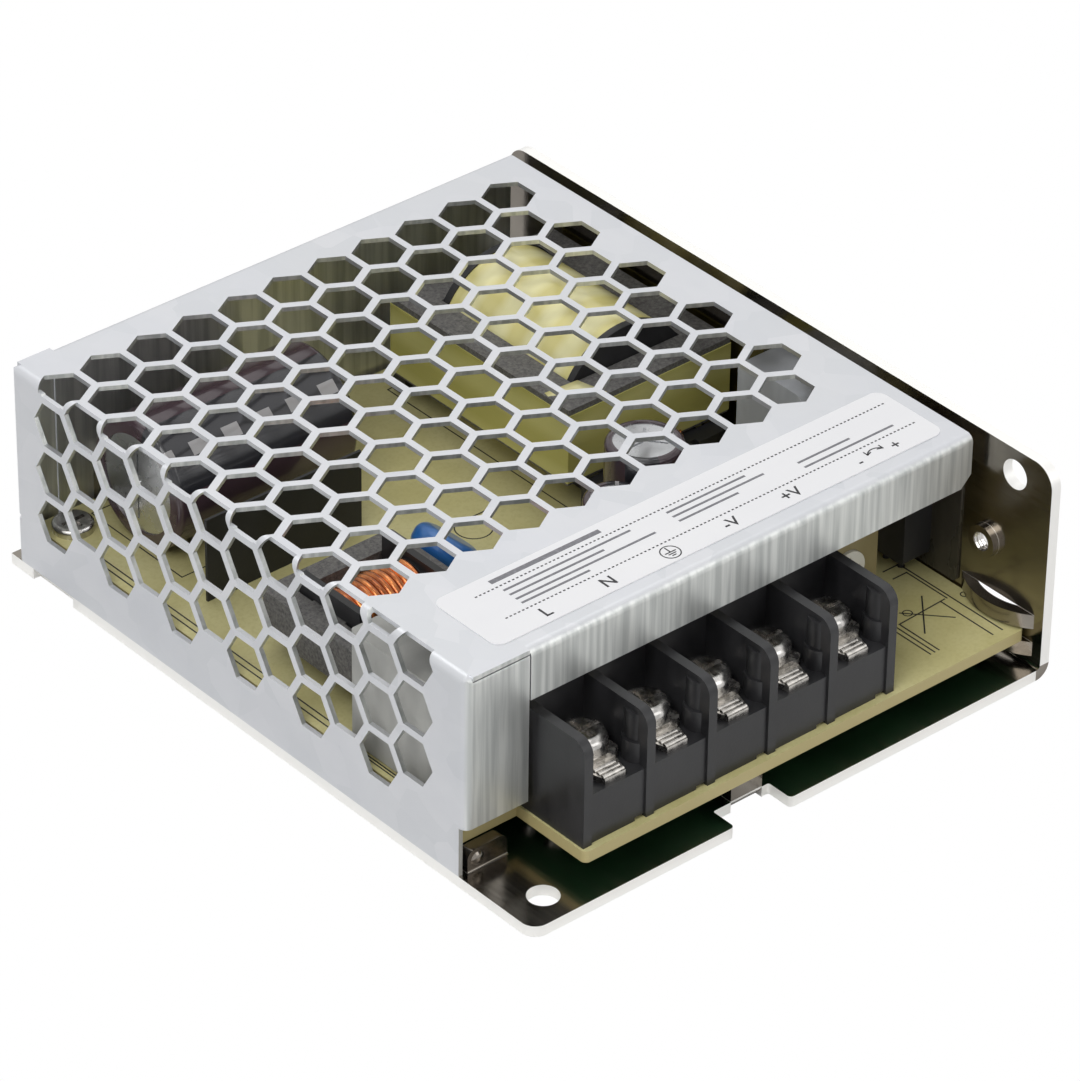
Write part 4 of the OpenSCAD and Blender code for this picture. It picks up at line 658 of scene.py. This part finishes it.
def thread(shape, start, direction, radius, depth, pitch, length, steps=20):
    """A helical ridge standing inward from a hole's wall."""
    turns = max(1, int(length / pitch) - 1)
    fresh = bmesh.new()
    half = pitch * 0.42
    root = radius + 0.02 * MM
    points = [fresh.verts.new((r, 0, h)) for r, h in ((root, -half), (radius - depth, 0), (root, half))]
    face = fresh.faces.new(points)
    bmesh.ops.spin(fresh, geom=[face] + list(face.edges) + points, axis=(0, 0, 1), cent=(0, 0, 0),
                   dvec=(0, 0, pitch / steps), angle=2 * math.pi * turns, steps=steps * turns)
    place = Matrix.Translation(start) @ Z.rotation_difference(direction).to_matrix().to_4x4()
    bmesh.ops.transform(fresh, matrix=place @ Matrix.Translation((0, 0, half)), verts=fresh.verts)
    merge(shape, fresh)


def tapped_holes():
    """M3 threads, 0.5 mm pitch, in the drawn holes of wall and base."""
    shape = bmesh.new()
    for mount in frame["record"]["mounts"]:
        if mount["kind"] != "threaded_hole":
            continue
        axis = Vector(mount["axis"])
        length = mount["dims"]["length_mm"] * MM
        start = Vector(mount["pos_m"]) - axis * (length / 2 - 0.05 * MM)
        thread(shape, start, axis, mount["dims"]["r_mm"] * MM, 0.16 * MM, 0.5 * MM, length - 0.1 * MM)
    return piece("tapped_threads", shape, plated)


tapped_holes()

# ---------- transformer details ----------


def tape_corner():
    """Folded end of the core tape at the front left corner."""
    lo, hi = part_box("transformer_tape")
    shape = bmesh.new()
    corners = [(0.1, 0.2, 0), (6.5, 0.4, 0.9), (5.2, 4.4, 1.15), (0.4, 5.0, 0.95)]
    face = shape.faces.new([shape.verts.new((lo.x + x * MM, lo.y + y * MM, hi.z + z * MM))
                            for x, y, z in corners])
    bmesh.ops.subdivide_edges(shape, edges=face.edges[:], cuts=3, use_grid_fill=True)
    bmesh.ops.solidify(shape, geom=shape.faces[:], thickness=0.06 * MM)
    return piece("tape_corner", shape, dress["transformer_winding"], smooth=True)


def winding_leads():
    """Lead-outs from the winding to the pins at both ends."""
    lo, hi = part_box("transformer_winding")
    rail_lo, rail_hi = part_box("transformer_bobbin")
    middle = (lo.x + hi.x) / 2
    shape = bmesh.new()
    for end, side in ((rail_lo.y + 0.9 * MM, -1), (rail_hi.y - 0.9 * MM, 1)):
        for offset in (-7.6, -3.8, 3.8):
            foot = Vector((middle + offset * MM, end, board_hi.z + 4.9 * MM))
            path = [(0, 0, 0), (0, 0, 0.9), (0.3, -side * 0.5, 1.6), (0.8, -side * 0.9, 1.0),
                    (1.3, -side * 1.1, 0.2)]
            wire(shape, [foot + Vector(step) * MM for step in path], 0.28 * MM)
    return piece("winding_leads", shape, copper, smooth=True)


tape_corner()
winding_leads()

# ---------- surroundings ----------


def floor():
    """Pale floor, well beyond the view: white to the camera, plain paint to the light."""
    shape = bmesh.new()
    bmesh.ops.create_grid(shape, x_segments=1, y_segments=1, size=4)
    mesh = bpy.data.meshes.new("floor")
    shape.to_mesh(mesh)
    shape.free()
    made = bpy.data.objects.new("floor", mesh)
    made.location.z = cad_box[0].z - 0.0001
    bpy.context.scene.collection.objects.link(made)
    surface, tree, shader, _ = start("pale_floor", "f4f4f4", 0.0, 0.6)
    path = add(tree, "LightPath")
    white = add(tree, "Emission", {"Color": colour("ffffff"), "Strength": 1.0})
    mixed = add(tree, "MixShader", {0: path.outputs["Is Camera Ray"], 1: shader.outputs[0],
                                    2: white.outputs[0]})
    tree.links.new(mixed.outputs[0], tree.nodes["Material Output"].inputs["Surface"])
    made.data.materials.append(surface)


def surroundings():
    """A white room, full strength only as seen or mirrored, and three soft square lamps."""
    world = bpy.data.worlds.new("studio")
    bpy.context.scene.world = world
    world.use_nodes = True
    tree = world.node_tree
    back = tree.nodes["Background"]
    path = add(tree, "LightPath")
    seen = add(tree, "Math", {0: path.outputs["Is Camera Ray"], 1: path.outputs["Is Glossy Ray"]},
               operation="MAXIMUM").outputs[0]
    strength = add(tree, "MapRange", {"Value": seen, "To Min": 0.42})
    back.inputs["Color"].default_value = colour("fbfbfb")
    tree.links.new(strength.outputs[0], back.inputs["Strength"])
    aim = Vector((0, 0, 0.01))
    for name, place, size, watts in (("key", (-0.55, -0.25, 0.75), 0.5, 3.6),
                                     ("top", (0.1, 0.3, 0.9), 0.6, 1.8),
                                     ("front", (0.25, -0.8, 0.5), 0.5, 1.0)):
        data = bpy.data.lights.new(name, "AREA")
        data.shape, data.size, data.energy = "SQUARE", size, watts
        made = bpy.data.objects.new(name, data)
        made.location = place
        made.rotation_euler = (aim - Vector(place)).to_track_quat("-Z", "Y").to_euler()
        bpy.context.scene.collection.objects.link(made)


def camera():
    """Long lens from the front left, above, rolled by 0.83 degrees."""
    data = bpy.data.cameras.new("camera")
    data.sensor_fit, data.sensor_width, data.lens = "HORIZONTAL", 36, 207.33
    data.clip_start, data.clip_end = 0.05, 20
    made = bpy.data.objects.new("camera", data)
    place = Vector((-409.04, -471.26, 435.19)) * MM
    aim = Vector((5.03, 3.02, 7.72)) * MM
    roll = Quaternion((0, 0, 1), math.radians(0.83))
    made.location = place
    made.rotation_mode = "QUATERNION"
    made.rotation_quaternion = (aim - place).to_track_quat("-Z", "Y") @ roll
    bpy.context.scene.collection.objects.link(made)
    bpy.context.scene.camera = made


floor()
surroundings()
camera()
bpy.context.scene.view_settings.view_transform = "Standard"
